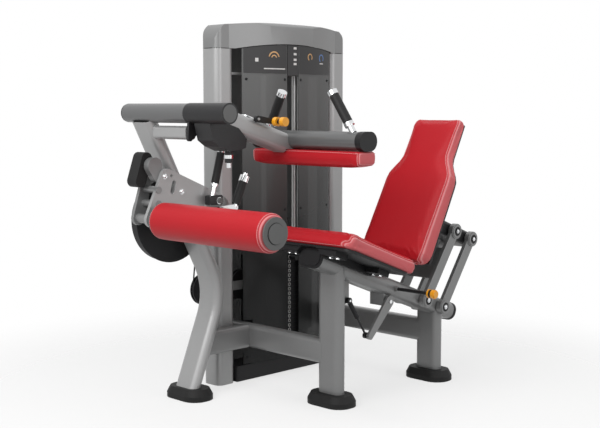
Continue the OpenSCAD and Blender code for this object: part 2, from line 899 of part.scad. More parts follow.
module end_caps() {
    color([0.05, 0.05, 0.05]) placed() {
        on_rail(rail_front) rotate([0, -90, 0]) {
            linear_extrude(8) rotate(90) round_rect(rail_w + 2 * cap_lip, rail_t + 2 * cap_lip, cap_r);
            linear_extrude(11) rotate(90) round_rect(rail_w - 14, rail_t - 14, 28);
        }
        on_rail(rail_rear) rotate([0, 90, 0]) linear_extrude(14) rotate(90) round_rect(rail_w + 4, rail_t + 4, 36);
        bar_y(bar_x, bar_z, top_bar_d - 4, bar_far, bar_far + 8);
    }
}

// Pins fixed in the rail: two for the links, one for the gas lever and one for the gas spring
module rail_pins() {
    reach = link_in + link_end_t + 5;
    color([0.78, 0.79, 0.8]) placed() {
        for (p = [front_pivot, rear_pivot]) {
            bar_y(p[0], p[1], pin_rail_d, -reach, reach);
        }
        bar_y(gas_hub[0], gas_hub[1], 16, -62, 38);
        bar_y(gas_top[0], gas_top[1], 10, -38, 0);
    }
}

module seat_frame() {
    low = rail_t / 2;
    wing = 150;
    side_h = 32;
    rail_end = (rail_front - seat_x) / cos(rail_tilt);
    color([0.07, 0.07, 0.08]) placed() on_rail(seat_x) difference() {
        union() {
            translate([0, 0, low]) linear_extrude(board_t) round_rect(seat_depth - 40, seat_w - 40, 40);
            for (s = [-1, 1]) {
                for (x = seat_arm_at) {
                    translate([x, s * wing / 2, low + 1 - seat_arm_h / 2])
                        cube([seat_arm_w, wing, seat_arm_h], center = true);
                }
                translate([-15, s * (rail_w / 2 + 10), low + 1 - side_h / 2]) cube([300, 12, side_h], center = true);
            }
        }
        rotate([0, 90, 0]) linear_extrude(2 * seat_depth, center = true) rotate(90)
            round_rect(rail_w, rail_t, rail_r);
        translate([rail_end - seat_depth, 0, 0]) rotate([0, 90, 0]) linear_extrude(seat_depth + 1) rotate(90)
            round_rect(rail_w + 2 * cap_lip + 1, rail_t + 2 * cap_lip + 1, cap_r);
    }
}

module seat_bolts() {
    head_d = 18;
    head_h = 6;
    color([0.8, 0.81, 0.82]) placed() on_rail(seat_x) for (s = [-1, 1]) {
        for (x = seat_arm_at) {
            for (y = [96, 132]) {
                translate([x, s * y, rail_t / 2 + 1 - seat_arm_h - head_h]) cylinder(d = head_d, h = head_h);
            }
        }
    }
}

// Rounded front and back ends, slightly narrower towards the back
module seat_pad() {
    steps = cushion_steps(22);
    rings = [for (t = steps)
        let (s = t * seat_depth,
             edge = min(end_round(s + 2, 46, 2.4), end_round(seat_depth - s + 2, 40, 2.4)),
             half = seat_w / 2 * (1 - (1 - seat_taper) * t) * (0.9 + 0.1 * edge),
             thick = seat_t * (0.35 + 0.65 * edge) - 5 * sin(180 * t))
        ring(s, half, thick, seat_t * 0.22 * (1 - edge))];
    color([0.72, 0.08, 0.12]) placed() on_rail(seat_x)
        translate([-seat_depth / 2, 0, rail_t / 2 + board_t + 0.2]) rotate(-90) loft(rings);
}

// Exercise arm
module arm_outline() {
    pivot = [pivot_x, pivot_z];
    corner = [corner_x, corner_z];
    boss = [roller_x, roller_z];
    two_disc_link(pivot, hub_r, corner, corner_r);
    two_disc_link(pivot, hub_r, boss, boss_r);
    two_disc_link(corner, corner_r, boss, boss_r);
    polygon([pivot, corner, boss]);
}

module arm_holes() {
    translate([pivot_x, pivot_z]) circle(shaft_d / 2);
    translate([roller_x, roller_z]) circle(roller_axle_d / 2);
    for (r = rungs) {
        translate(r) circle(rung_d / 2);
    }
    two_disc_link([-494, 917], 10, [-503, 884], 10);
    translate([-507, 946]) circle(6);
}

module arm_plate() {
    color([0.7, 0.71, 0.72]) placed() {
        plate_y(arm_near, arm_near + arm_plate_t) difference() {
            arm_outline();
            arm_holes();
        }
        plate_y(arm_near - 8, arm_near) difference() {
            translate([pivot_x, pivot_z]) circle(hub_r - 16);
            translate([pivot_x, pivot_z]) circle(shaft_d / 2);
            translate([peg_x, peg_z]) circle(peg_d / 2);
        }
    }
}

module arm_shaft() {
    color([0.75, 0.76, 0.77]) placed() {
        bar_y(pivot_x, pivot_z, shaft_d, rom_y - 12, tower_y + cam_w / 2 + 4);
        bar_y(pivot_x, pivot_z, shaft_d + 24, rom_y - 20, rom_y - 12);
    }
}

// Welded ladder: a bar beside the plate, two rungs and the axle that carries the roller
module arm_ladder() {
    far = ladder_y + ladder_t;
    color([0.68, 0.69, 0.7]) placed() {
        plate_y(ladder_y, far) two_disc_link([-562, 920], 24, [roller_x, roller_z], 28);
        for (r = rungs) {
            bar_y(r[0], r[1], rung_d, arm_near - 3, far);
        }
        bar_y(roller_x, roller_z, roller_axle_d, roller_y0 - 3, far);
        plate_y(arm_near + arm_plate_t, bumper_y) two_disc_link([-574, 987], 34, [-560, 944], 22);
    }
}

// Rubber bumper on the boss beside the plate, in front of the leg
module arm_bumper() {
    color([0.04, 0.04, 0.04]) placed()
        plate_y(bumper_y, ladder_y + ladder_t) two_disc_link(bumper_low, bumper_r, bumper_high, bumper_r);
}

module cam() {
    seat_r = cam_r - cable_r - groove;
    color([0.1, 0.1, 0.1]) placed() difference() {
        union() {
            bar_y(pivot_x, pivot_z, 2 * seat_r, tower_y - cam_w / 2, tower_y + cam_w / 2);
            for (s = [-1, 1]) {
                y = tower_y + s * (cam_w / 2 - 3);
                bar_y(pivot_x, pivot_z, 2 * cam_r + 10, y - 3, y + 3);
            }
        }
        bar_y(pivot_x, pivot_z, shaft_d, tower_y - cam_w, tower_y + cam_w);
    }
}

// Chrome bar of the entry handle with its clamp on a peg of the near plate
handle_y = 370;
handle_low = [-322, handle_y, 850];
handle_high = [-270, handle_y, 1042];
function on_handle(t) = handle_low + t * (handle_high - handle_low);

module assist_handle() {
    color([0.8, 0.81, 0.82]) placed() {
        bar_y(peg_x, peg_z, peg_d, handle_y - 22, arm_near);
        rod(on_handle(-0.05), on_handle(0.3), 19);
        rod(on_handle(0.24), on_handle(0.3), 30);
        rod(on_handle(0.95), on_handle(1.06), 28);
        difference() {
            translate([peg_x - 12, handle_y, peg_z + 2]) cube([66, 34, 36], center = true);
            bar_y(peg_x, peg_z, peg_d, handle_y - 40, arm_near);
            rod(on_handle(-0.2), on_handle(0.3), 19);
        }
    }
}

module assist_grip() {
    color([0.06, 0.06, 0.06]) placed() rod(on_handle(0.3), on_handle(0.95), 33);
}

// Roller
module roller_pad() {
    r = roller_d / 2;
    edge = 24;
    bore = 31;
    long = roller_y1 - roller_y0;
    color([0.72, 0.08, 0.12]) placed()
        translate([roller_x, roller_y0, roller_z]) rotate([-90, 0, 0]) rotate_extrude() difference() {
            union() {
                translate([0, edge]) square([r, long - 2 * edge]);
                square([r - edge, long]);
                translate([r - edge, edge]) circle(edge);
                translate([r - edge, long - edge]) circle(edge);
            }
            translate([-r, -1]) square([r + bore, long + 2]);
            for (s = [edge, long - edge]) {
                translate([r + 1, s]) circle(2.6, $fn = 24);
            }
        }
}

// Two flanged bushes; the near one is closed by a disc
module roller_caps() {
    bore = roller_axle_d + 2 * running;
    sleeve_d = 61;
    flange_d = 118;
    deep = 60;
    color([0.5, 0.51, 0.52]) placed() {
        difference() {
            union() {
                bar_y(roller_x, roller_z, sleeve_d, roller_y0 - 1, roller_y0 + deep);
                bar_y(roller_x, roller_z, flange_d, roller_y0 - 7, roller_y0 - apart);
                bar_y(roller_x, roller_z, 74, roller_y0 - disc_out, roller_y0 - 7);
            }
            bar_y(roller_x, roller_z, bore, roller_y0 - 5, roller_y0 + deep + 1);
        }
        difference() {
            union() {
                bar_y(roller_x, roller_z, sleeve_d, roller_y1 - deep, roller_y1 + 1);
                bar_y(roller_x, roller_z, flange_d, roller_y1 + apart, roller_y1 + 7);
            }
            bar_y(roller_x, roller_z, bore, roller_y1 - deep - 1, roller_y1 + 8);
        }
    }
}

// Start-position lever on the arm's shaft
grip_low = [-200, rom_y + 6, 817];
grip_high = [-149, rom_y + 6, 929];
function on_grip(t) = grip_low + t * (grip_high - grip_low);

module range_lever() {
    hub = [pivot_x, pivot_z];
    knee_r = 14;
    below = (grip_high - grip_low) / norm(grip_high - grip_low) * (knee_r + 1);
    knee = [grip_low[0] - below[0], grip_low[2] - below[2]];
    color([0.8, 0.81, 0.82]) placed() {
        plate_y(rom_y, rom_y + 12) difference() {
            two_disc_link(hub, 33, knee, knee_r);
            translate(hub) circle(shaft_d / 2 + running);
        }
        rod(on_grip(-0.1), on_grip(0), 18);
        rod(on_grip(0.8), on_grip(1.02), 40);
        rod(on_grip(1.02), on_grip(1.12), 20);
    }
}

module range_grip() {
    color([0.06, 0.06, 0.06]) placed() rod(on_grip(0), on_grip(0.8), 36);
}

// Thigh assembly
module thigh_axis_run(from, to) {
    drop = tan(thigh_slope);
    p = [from, bar_z + 5 - drop * (from - bar_x)];
    q = [to, bar_z + 5 - drop * (to - bar_x)];
    run_xz(p, q, thigh_y0 + thigh_arm_w / 2) children();
}

module thigh_beam_solid(half) {
    translate([beam_x, -half, thigh_beam_z]) rotate([-90, 0, 0])
        linear_extrude(2 * half) oval(thigh_beam_w, thigh_beam_t);
}

module thigh_bracket() {
    color([0.06, 0.06, 0.06]) placed() difference() {
        union() {
            bar_y(bar_x, bar_z, top_bar_d + 3, sleeve_y0, sleeve_y1);
            plate_y(thigh_y0, thigh_y0 + thigh_arm_w) polygon(bracket_box);
            plate_y(fin_y, fin_y + fin_t) {
                two_disc_link(fin_lobe, fin_lobe_r, [bar_x, bar_z], fin_root_r);
                two_disc_link(fin_lobe, fin_lobe_r, fin_tail, 1);
                polygon([fin_lobe, fin_tail, [bar_x, bar_z]]);
            }
            translate([-440, 132, 1006]) cylinder(d = 30, h = 60);
            translate([-440, 132, 988]) cylinder(d = 14, h = 30);
        }
        bar_y(bar_x, bar_z, bar_shaft_d + 2 * running, sleeve_y0 + 6, sleeve_y1 + 1);
        thigh_axis_run(bar_x, beam_x)
            round_rect(thigh_arm_t + 2 * snug, thigh_arm_w + 2 * snug, thigh_arm_r + snug);
    }
}

module thigh_arm() {
    color([0.64, 0.65, 0.66]) placed() difference() {
        thigh_axis_run(bar_x + 8, beam_x) rect_tube(thigh_arm_t, thigh_arm_w, thigh_arm_r);
        bar_y(bar_x, bar_z, top_bar_d + 3, sleeve_y0 - 1, sleeve_y1 + 1);
        thigh_beam_solid(thigh_beam_half);
        translate([beam_x, 0, thigh_beam_z - 60]) cube([60, 400, 300]);
        translate([beam_x - thigh_depth / 2 - pad_room, 0, thigh_beam_z - thigh_beam_t / 2 - 2 * thigh_t])
            cube([thigh_depth + 2 * pad_room, 400, 2 * thigh_t - pad_drop + apart]);
    }
    color([0.75, 0.76, 0.77]) placed()
        bar_y(lever_pin[0], lever_pin[1], 10, lever_y - 4, thigh_y0 + thigh_arm_w - wall);
}

module thigh_beam() {
    color([0.66, 0.67, 0.68]) placed() difference() {
        thigh_beam_solid(thigh_beam_half);
        translate([beam_x, -thigh_beam_half - 1, thigh_beam_z]) rotate([-90, 0, 0])
            linear_extrude(2 * thigh_beam_half + 2) oval(thigh_beam_w - 2 * wall, thigh_beam_t - 2 * wall);
    }
}

module beam_caps() {
    color([0.06, 0.06, 0.06]) placed() for (s = [-1, 1]) {
        mid = s * (thigh_beam_half + cap_len / 2);
        translate([beam_x, mid, thigh_beam_z]) rotate([-90, 0, 0])
            linear_extrude(cap_len, center = true) oval(thigh_beam_w + 3, thigh_beam_t + 3);
    }
}

module thigh_pad() {
    steps = cushion_steps(26);
    rings = [for (t = steps)
        let (s = t * thigh_len,
             edge = min(end_round(s + 2, 34, 2.3), end_round(thigh_len - s + 2, 34, 2.3)))
        ring(s, thigh_depth / 2 * (0.72 + 0.28 * edge), thigh_t * (0.4 + 0.6 * edge),
             thigh_t * 0.2 * (1 - edge))];
    color([0.72, 0.08, 0.12]) placed()
        translate([beam_x, thigh_len / 2, thigh_beam_z - thigh_beam_t / 2 - pad_drop])
            rotate([180, 0, 0]) loft(rings);
}

// Grips lean inwards from the beam
grip_foot = [-131, 235, 1122];
grip_head = [-147, 136, 1280];
function on_bar(t, s) =
    let (p = grip_foot + t * (grip_head - grip_foot)) [p[0], s * p[1], p[2]];

module thigh_handles() {
    color([0.8, 0.81, 0.82]) placed() difference() {
        for (s = [-1, 1]) {
            rod(on_bar(0, s), on_bar(0.24, s), 26);
            rod(on_bar(0.16, s), on_bar(0.24, s), 40);
            rod(on_bar(0.9, s), on_bar(1, s), 40);
        }
        thigh_beam_solid(thigh_beam_half);
    }
}

module thigh_grips() {
    color([0.06, 0.06, 0.06]) placed() for (s = [-1, 1]) {
        rod(on_bar(0.24, s), on_bar(0.9, s), grip_d);
    }
}

// Release lever on the arm's near edge, with the knob across its end
lever_y = thigh_y0 - lever_gap - lever_t;

module thigh_lever() {
    color([0.05, 0.05, 0.05]) placed() difference() {
        union() {
            plate_y(lever_y, lever_y + lever_t) two_disc_link(lever_pin, 13, lever_end, 10);
            bar_y(lever_end[0], lever_end[1], 18, lever_y - 46, lever_y);
        }
        bar_y(lever_pin[0], lever_pin[1], 10 + 2 * running, lever_y - 1, lever_y + lever_t + 1);
    }
}

module lever_knob() {
    color([0.9, 0.6, 0.05]) placed() for (y = [lever_y - 22, lever_y - 62]) {
        difference() {
            bar_y(lever_end[0], lever_end[1], 36, y, y + 20);
            bar_y(lever_end[0], lever_end[1], 18, lever_y - 46, lever_y);
        }
    }
}

// Back
module link_bar(a, b, s) {
    bar_y0 = s > 0 ? link_in : -link_in - link_t;
    end_y0 = s > 0 ? link_in : -link_in - link_end_t;
    difference() {
        union() {
            plate_y(bar_y0, bar_y0 + link_t) two_disc_link(a, link_r, b, link_r);
            for (p = [a, b]) {
                bar_y(p[0], p[1], 2 * link_end_r, end_y0, end_y0 + link_end_t);
            }
        }
        for (p = [a, b]) {
            bar_y(p[0], p[1], pin_rail_d + 2 * running, end_y0 - 1, end_y0 + link_end_t + 1);
        }
    }
}

module link_pair(a, b) {
    link_bar(a, b, 1);
    link_bar(a, b, -1);
}

// Web plate that ties the two front links together between the rail and the carrier
module front_links() {
    color([0.55, 0.56, 0.57]) placed() {
        link_pair(front_pivot, front_top);
        run_xz(front_pivot + 0.3 * link_vector, front_pivot + 0.74 * link_vector, 0)
            square([8, 2 * link_in + link_t], center = true);
    }
}

module rear_links() {
    color([0.55, 0.56, 0.57]) placed() link_pair(rear_pivot, rear_top);
}

// Tube parallel to the rail with pivot stubs, and the plate that holds the back board
module back_carrier() {
    reach = link_in + link_end_t + 5;
    mount_x = board_gap + 12 + 14;
    along = [cos(rail_tilt), -sin(rail_tilt)];
    color([0.1, 0.1, 0.11]) placed() {
        difference() {
            run_xz(front_top - 260 * along, rear_top + carrier_end * along, 0) rect_tube(carrier_t, carrier_w, 16);
            on_back() translate([-360, -300, -200]) cube([360 + mount_x, 600, 1200]);
        }
        on_back() translate([board_gap + 12, -75, 110]) cube([14, 150, 290]);
        for (p = [front_top, rear_top]) {
            bar_y(p[0], p[1], pin_rail_d, -reach, reach);
        }
    }
}

module back_board() {
    margin = 16;
    steps = [for (i = [0 : 24]) i / 24];
    edge = [for (t = steps) let (s = margin + t * (back_h - 2 * margin)) [back_half(s) - margin, s]];
    other = [for (i = [24 : -1 : 0]) [-edge[i][0], edge[i][1]]];
    color([0.05, 0.05, 0.05]) placed() on_back()
        translate([board_gap, 0, 0]) rotate([90, 0, 90]) linear_extrude(12) polygon(concat(edge, other));
}

module back_pad() {
    steps = cushion_steps(34);
    rings = [for (t = steps)
        let (s = t * back_h,
             edge = min(end_round(s + 3, 60, 2.2), end_round(back_h - s + 3, 48, 2.2)),
             thick = back_t + (head_t - back_t) * t)
        ring(s, back_half(s) * (0.74 + 0.26 * edge), thick * (0.42 + 0.58 * edge),
             thick * 0.16 * (1 - edge))];
    color([0.72, 0.08, 0.12]) placed() on_back() rotate([90, 0, -90]) loft(rings);
}

// Sprung rod with its knob beside the seat
module release_knob() {
    z = frame_rail(release_x);
    color([0.9, 0.6, 0.05]) placed() {
        bar_y(release_x, z, rod_d, knob_y, -20);
        bar_y(release_x, z, 30, knob_y - 26, knob_y + 12);
        bar_y(release_x, z, 38, knob_y - 20, knob_y - 8);
        bar_y(release_x, z, 38, knob_y + 4, knob_y + 12);
    }
}

// Lever under the rail and its gas spring
module gas_lever() {
    color([0.66, 0.67, 0.68]) placed() {
        plate_y(-56, -44) difference() {
            two_disc_link(gas_hub, 24, gas_end, 15);
            translate(gas_hub) circle(8 + running);
        }
        bar_y(gas_end[0], gas_end[1], 10, -44, -16);
    }
}

gas_dir = (gas_end - gas_top) / norm(gas_end - gas_top);
gas_y = -27;

module gas_barrel() {
    a = gas_top + 12 * gas_dir;
    b = gas_top + 92 * gas_dir;
    color([0.05, 0.05, 0.05]) placed() difference() {
        union() {
            rod([a[0], gas_y, a[1]], [b[0], gas_y, b[1]], 20);
            bar_y(gas_top[0], gas_top[1], 26, gas_y - 8, gas_y + 8);
        }
        bar_y(gas_top[0], gas_top[1], 10 + 2 * running, gas_y - 20, gas_y + 20);
        rod([gas_top[0] + 22 * gas_dir[0], gas_y, gas_top[1] + 22 * gas_dir[1]],
            [b[0] + gas_dir[0], gas_y, b[1] + gas_dir[1]], 9 + 2 * running);
    }
}

module gas_rod() {
    eye_gap = 1.5;
    a = gas_top + 60 * gas_dir;
    b = gas_end - 10 * gas_dir;
    color([0.1, 0.1, 0.1]) placed() difference() {
        union() {
            rod([a[0], gas_y, a[1]], [b[0], gas_y, b[1]], 9);
            bar_y(gas_end[0], gas_end[1], 26, gas_y - 8, gas_y + 8);
        }
        bar_y(gas_end[0], gas_end[1], 10 + 2 * eye_gap, gas_y - 20, gas_y + 20);
    }
}

tower_posts();
tower_cap();
front_shields();
rear_shields();
placards();
plinth();
guide_rods();
stack_bumpers();
resting_plates();
pulley_mounts();
lift_cable();
front_leg();
rubber_feet();
base_beam();
cross_beams();
seat_legs();
top_bar();
bearing_housing();
arm_bearings();
cam_guard();
seat_rail();
end_caps();
rail_pins();
seat_frame();
seat_pad();
seat_bolts();
top_pulley();
lower_pulley();
post_pulley();
arm_shaft();
arm_plate();
arm_ladder();
arm_bumper();
cam();
assist_handle();
assist_grip();
roller_pad();
roller_caps();
range_lever();
range_grip();
thigh_bracket();
thigh_arm();
thigh_beam();
beam_caps();
thigh_pad();
thigh_handles();
thigh_grips();
thigh_lever();
lever_knob();
front_links();
rear_links();
back_carrier();
back_board();
back_pad();
release_knob();
gas_lever();
gas_barrel();
gas_rod();
weight_head();
selector_pin();
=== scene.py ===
"""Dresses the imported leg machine: finishes on the frame, sewn cushions, small fittings and a studio stage."""

import json
import math

import bmesh
import bpy
import numpy as np
from mathutils import Matrix, Vector


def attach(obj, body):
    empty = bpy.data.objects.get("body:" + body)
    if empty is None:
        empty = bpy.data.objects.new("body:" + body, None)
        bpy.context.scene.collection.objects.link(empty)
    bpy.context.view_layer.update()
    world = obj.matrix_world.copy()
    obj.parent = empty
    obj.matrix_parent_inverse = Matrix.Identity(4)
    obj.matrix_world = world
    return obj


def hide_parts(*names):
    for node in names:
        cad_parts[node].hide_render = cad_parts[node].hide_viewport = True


bl_info = {
    "name": "Leg Machine Dressing",
    "version": (1, 0, 0),
    "blender": (4, 5, 0),
    "location": "View3D > Sidebar > Leg Machine",
    "description": "Finishes, cushions and fittings for a leg machine with a weight tower",
    "category": "Object",
}

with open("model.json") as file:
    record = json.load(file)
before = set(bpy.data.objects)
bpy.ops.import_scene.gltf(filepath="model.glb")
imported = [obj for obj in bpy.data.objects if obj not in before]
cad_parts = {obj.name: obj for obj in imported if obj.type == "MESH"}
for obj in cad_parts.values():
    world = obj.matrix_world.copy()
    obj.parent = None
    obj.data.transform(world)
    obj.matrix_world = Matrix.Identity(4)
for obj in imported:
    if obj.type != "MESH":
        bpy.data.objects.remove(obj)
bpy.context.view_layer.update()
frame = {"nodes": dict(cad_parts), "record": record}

# The drawing is in millimetres from the front seat leg's foot, which is the record's floor mount
ORIGIN = Vector(frame["record"]["mounts"][0]["pos_m"])
MM = 0.001


def at(x, y, z):
    """A point of the drawing in the object's frame, in metres"""
    return ORIGIN + Vector((x, y, z)) * MM


def rail_z(x):
    """Height of the tilted seat rail's middle line, in millimetres"""
    return RAIL_Z - x * math.tan(math.radians(RAIL_TILT))


# Places and sizes shared with the drawing, in millimetres
TOWER_X = 262
TOWER_Y = 598
POST_H = 1470
POST_DX = 354
POST_W = 100
POST_D = 106
POST_R = 28
BOW_R = 980
BOW_APEX = 108
RAIL_TILT = 20.5
SEAT_X = 28
RAIL_Z = 573
SEAT_BASE = 48.2
BACK_FOOT = (408, 541)
BACK_LEAN = 27.2
THIGH_LEN = 600
THIGH_PLANE = (-118, 1051)
ROLLER = (-602, 778)
ROLLER_Y = (-292, 346)
ROLLER_SLEEVE_R = 34
PLATE_FRONT = 515
STACK_Z = 190
PLATE_PITCH = 21
PIN_PLATE = 16
FRONT_PIVOT_X = 520
REAR_PIVOT_X = FRONT_PIVOT_X + 128.5 * math.cos(math.radians(RAIL_TILT))
LINK_LENGTH = 350
LINK_LEAN = math.radians(35)
LINK_FACE = 88
PIN_END = 93
RELEASE_X = 334
KNOB_Y = -250
THIGH_BAR = (-560, 1195)
THIGH_SLOPE = 17.4
PLACARD_R = BOW_R + 1
TO_FRONT = (0, -1, 0)

# Which finish each CAD node wears
FINISHES = {
    "Satin grey paint": ["tower_posts", "front_leg", "thigh_arm", "arm_plate", "pulley_mounts"],
    # The second grey is the frame paint darkened as painted shade on the lower frame and links; on the cap it
    # also gives the cap a darker grey
    "Shaded grey paint": ["tower_cap", "base_beam", "cross_beams", "seat_legs", "bearing_housing", "seat_rail",
                       "arm_ladder", "front_links", "rear_links", "gas_lever"],
    "Dark satin paint": ["top_bar", "thigh_beam"],
    "Grey moulding": ["roller_caps"],
    "Smoked sheet": ["front_shields", "rear_shields"],
    "Printed plate": ["placards"],
    "Black moulding": ["plinth", "end_caps", "cam_guard", "seat_frame", "beam_caps", "thigh_lever",
                       "gas_barrel", "back_board", "top_pulley", "lower_pulley", "post_pulley",
                       "selector_pin"],
    "Black casting": ["thigh_bracket", "back_carrier", "cam", "gas_rod"],
    "Foot rubber": ["rubber_feet", "stack_bumpers", "arm_bumper", "lift_cable"],
    "Grip rubber": ["assist_grip", "range_grip", "thigh_grips"],
    "Ground steel": ["guide_rods", "arm_shaft", "arm_bearings"],
    "Chrome": ["rail_pins", "seat_bolts", "assist_handle", "range_lever", "thigh_handles"],
    "Amber moulding": ["lever_knob", "release_knob"],
    "Plate iron": ["resting_plates", "weight_head"],
}

# Width of the small round that breaks the drawn edges of some nodes, in millimetres
SOFTENED = {
    0.8: ["front_shields", "rear_shields"],
    1.0: ["seat_bolts", "rail_pins", "gas_barrel"],
    1.2: ["gas_lever", "cam_guard", "assist_handle", "range_lever", "resting_plates", "weight_head"],
    1.4: ["front_links", "rear_links"],
    1.5: ["thigh_arm", "roller_caps", "thigh_handles", "thigh_lever", "back_board", "back_carrier"],
    1.6: ["arm_plate", "arm_ladder"],
    2.0: ["seat_frame", "release_knob", "plinth", "selector_pin"],
    2.5: ["thigh_grips", "assist_grip", "range_grip", "lever_knob"],
    3.0: ["tower_cap", "end_caps", "rubber_feet"],
    4.0: ["beam_caps"],
    5.0: ["thigh_bracket", "arm_bumper"],
}


def colour_setting(name, description, default):
    """A colour that a surface reflects"""
    return bpy.props.FloatVectorProperty(name=name, description=description, subtype="COLOR", size=3, min=0,
                                         max=1, default=default)


def length_setting(name, description, least, most, default):
    """A length in metres"""
    return bpy.props.FloatProperty(name=name, description=description, unit="LENGTH", min=least, max=most,
                                   default=default)


def power_setting(name, description, default):
    """The power of a lamp in watts"""
    return bpy.props.FloatProperty(name=name, description=description, unit="POWER", min=0, default=default)


class LegMachineFinish(bpy.types.PropertyGroup):
    """Colours of the finishes, as the surfaces reflect them"""

    paint: colour_setting("Frame paint", "Paint of the posts, front leg and arms", (0.345, 0.347, 0.347))
    # The frame paint darkened: painted shade on the lower frame and links, and the cap's own darker grey
    shaded_paint: colour_setting("Shaded paint", "Paint of the lower frame, links and cap", (0.215, 0.217, 0.217))
    dark_paint: colour_setting("Dark paint", "Darker satin paint of the bars", (0.125, 0.127, 0.128))
    vinyl: colour_setting("Vinyl", "Main cover of the cushions", (0.500, 0.009, 0.017))
    # Paler red for the side panels: painted sheen where the light catches the sides
    side_panel_sheen: colour_setting("Side panel sheen", "Sewn-in side panels of the cushions", (0.640, 0.105, 0.115))
    # The thread colour also tints the cover along the seams as a painted highlight
    thread: colour_setting("Thread", "Stitches along the seams", (0.800, 0.360, 0.370))
    black: colour_setting("Black mouldings", "Caps, guards and boards", (0.010, 0.010, 0.011))
    rubber: colour_setting("Rubber", "Feet, grips and bumpers", (0.010, 0.010, 0.010))
    amber: colour_setting("Amber", "Knobs that the user works", (0.880, 0.370, 0.012))
    smoke: colour_setting("Smoked sheet", "Curved shields of the tower", (0.016, 0.017, 0.017))


class LegMachineCushion(bpy.types.PropertyGroup):
    """How the cushions are made"""

    voxel: length_setting("Cloth cell", "Grid that the covers are remeshed to", 0.003, 0.02, 0.006)
    swell: length_setting("Swell", "Furthest that the filling pushes a cover out", 0.0, 0.03, 0.007)
    shrink: length_setting("Start inside", "How far inside its solid a cover starts", 0.0, 0.02, 0.004)
    groove: length_setting("Seam depth", "Depth of the sewn seams", 0.0, 0.01, 0.0026)
    inset: length_setting("Seam inset", "Distance of a seam from the cushion's side", 0.0, 0.05, 0.010)
    stitch: length_setting("Stitch length", "Spacing of the stitches", 0.003, 0.03, 0.0075)


class LegMachineStage(bpy.types.PropertyGroup):
    """Studio light and floor"""

    key: power_setting("Key light", "Power of the large lamp on the left", 110)
    side: power_setting("Side light", "Power of the lamp on the right", 34)
    top: power_setting("Top light", "Power of the lamp above", 45)
    front: power_setting("Front light", "Power of the lamp by the camera", 16)
    ambient: bpy.props.FloatProperty(
        name="Ambient", description="Strength of the even light from all round", min=0, max=1,
        subtype="FACTOR", default=0.26)


# Shader groups that several finishes share
def new_group(name, inputs, outputs):
    """An empty shader group and its ends; a socket named for a colour is one, the others are numbers"""
    group = bpy.data.node_groups.new(name, "ShaderNodeTree")
    for direction, sockets in (("INPUT", inputs), ("OUTPUT", outputs)):
        for socket in sockets:
            kind = "NodeSocketColor" if "colour" in socket.lower() else "NodeSocketFloat"
            group.interface.new_socket(socket, in_out=direction, socket_type=kind)
    return group, group.nodes.new("NodeGroupInput"), group.nodes.new("NodeGroupOutput")


def add_node(tree, kind, settings=None, values=None):
    """A node with its settings and unlinked socket values"""
    made = tree.nodes.new(kind)
    for key, value in (settings or {}).items():
        setattr(made, key, value)
    for key, value in (values or {}).items():
        made.inputs[key].default_value = value
    return made


def feed(tree, source, socket):
    """Gives a socket a plain number or a link"""
    if isinstance(source, (int, float)):
        socket.default_value = source
    else:
        tree.links.new(source, socket)


def math_node(tree, operation, a, b):
    """A Math node fed by sockets or plain numbers"""
    made = add_node(tree, "ShaderNodeMath", {"operation": operation})
    feed(tree, a, made.inputs[0])
    feed(tree, b, made.inputs[1])
    return made.outputs[0]


def mix_colour(tree, factor, a, b):
    """A colour Mix node fed by sockets"""
    made = add_node(tree, "ShaderNodeMix", {"data_type": "RGBA"})
    tree.links.new(factor, made.inputs[0])
    tree.links.new(a, made.inputs[6])
    tree.links.new(b, made.inputs[7])
    return made.outputs[2]


def noise_at(tree, place, scale, detail, rough=0.5):
    """Noise on object coordinates, with a scale that is a number or a socket"""
    made = add_node(tree, "ShaderNodeTexNoise", None, {"Detail": detail, "Roughness": rough})
    tree.links.new(place, made.inputs["Vector"])
    feed(tree, scale, made.inputs["Scale"])
    return made.outputs["Fac"]


def object_place(tree):
    """The object coordinates that every pattern lies on"""
    return add_node(tree, "ShaderNodeTexCoord").outputs["Object"]


def grain_group():
    """Pebbled height for moulded, cast and painted skins"""
    group, inside, outside = new_group("Skin grain", ["Scale", "Coarse share"], ["Height"])
    place = object_place(group)
    fine = noise_at(group, place, inside.outputs["Scale"], 3.0)
    wide_scale = math_node(group, "MULTIPLY", inside.outputs["Scale"], 0.13)
    wide = noise_at(group, place, wide_scale, 2.0)
    lifted = math_node(group, "MULTIPLY", wide, inside.outputs["Coarse share"])
    group.links.new(math_node(group, "ADD", fine, lifted), outside.inputs["Height"])
    return group


def tone_group():
    """Uneven colour and gloss of a handled surface"""
    group, inside, outside = new_group(
        "Handled tone", ["Colour", "Worn colour", "Scale", "Amount", "Roughness", "Spread"],
        ["Colour", "Roughness"])
    place = object_place(group)
    patches = noise_at(group, place, inside.outputs["Scale"], 5.0, 0.62)
    fine_scale = math_node(group, "MULTIPLY", inside.outputs["Scale"], 9.0)
    flecks = noise_at(group, place, fine_scale, 2.0)
    both = math_node(group, "MULTIPLY", patches, math_node(group, "ADD", flecks, 0.5))
    share = math_node(group, "MULTIPLY", both, inside.outputs["Amount"])
    tone = mix_colour(group, share, inside.outputs["Colour"], inside.outputs["Worn colour"])
    group.links.new(tone, outside.inputs["Colour"])
    centred = math_node(group, "SUBTRACT", patches, 0.5)
    spread = math_node(group, "MULTIPLY", centred, inside.outputs["Spread"])
    group.links.new(math_node(group, "ADD", spread, inside.outputs["Roughness"]), outside.inputs["Roughness"])
    return group


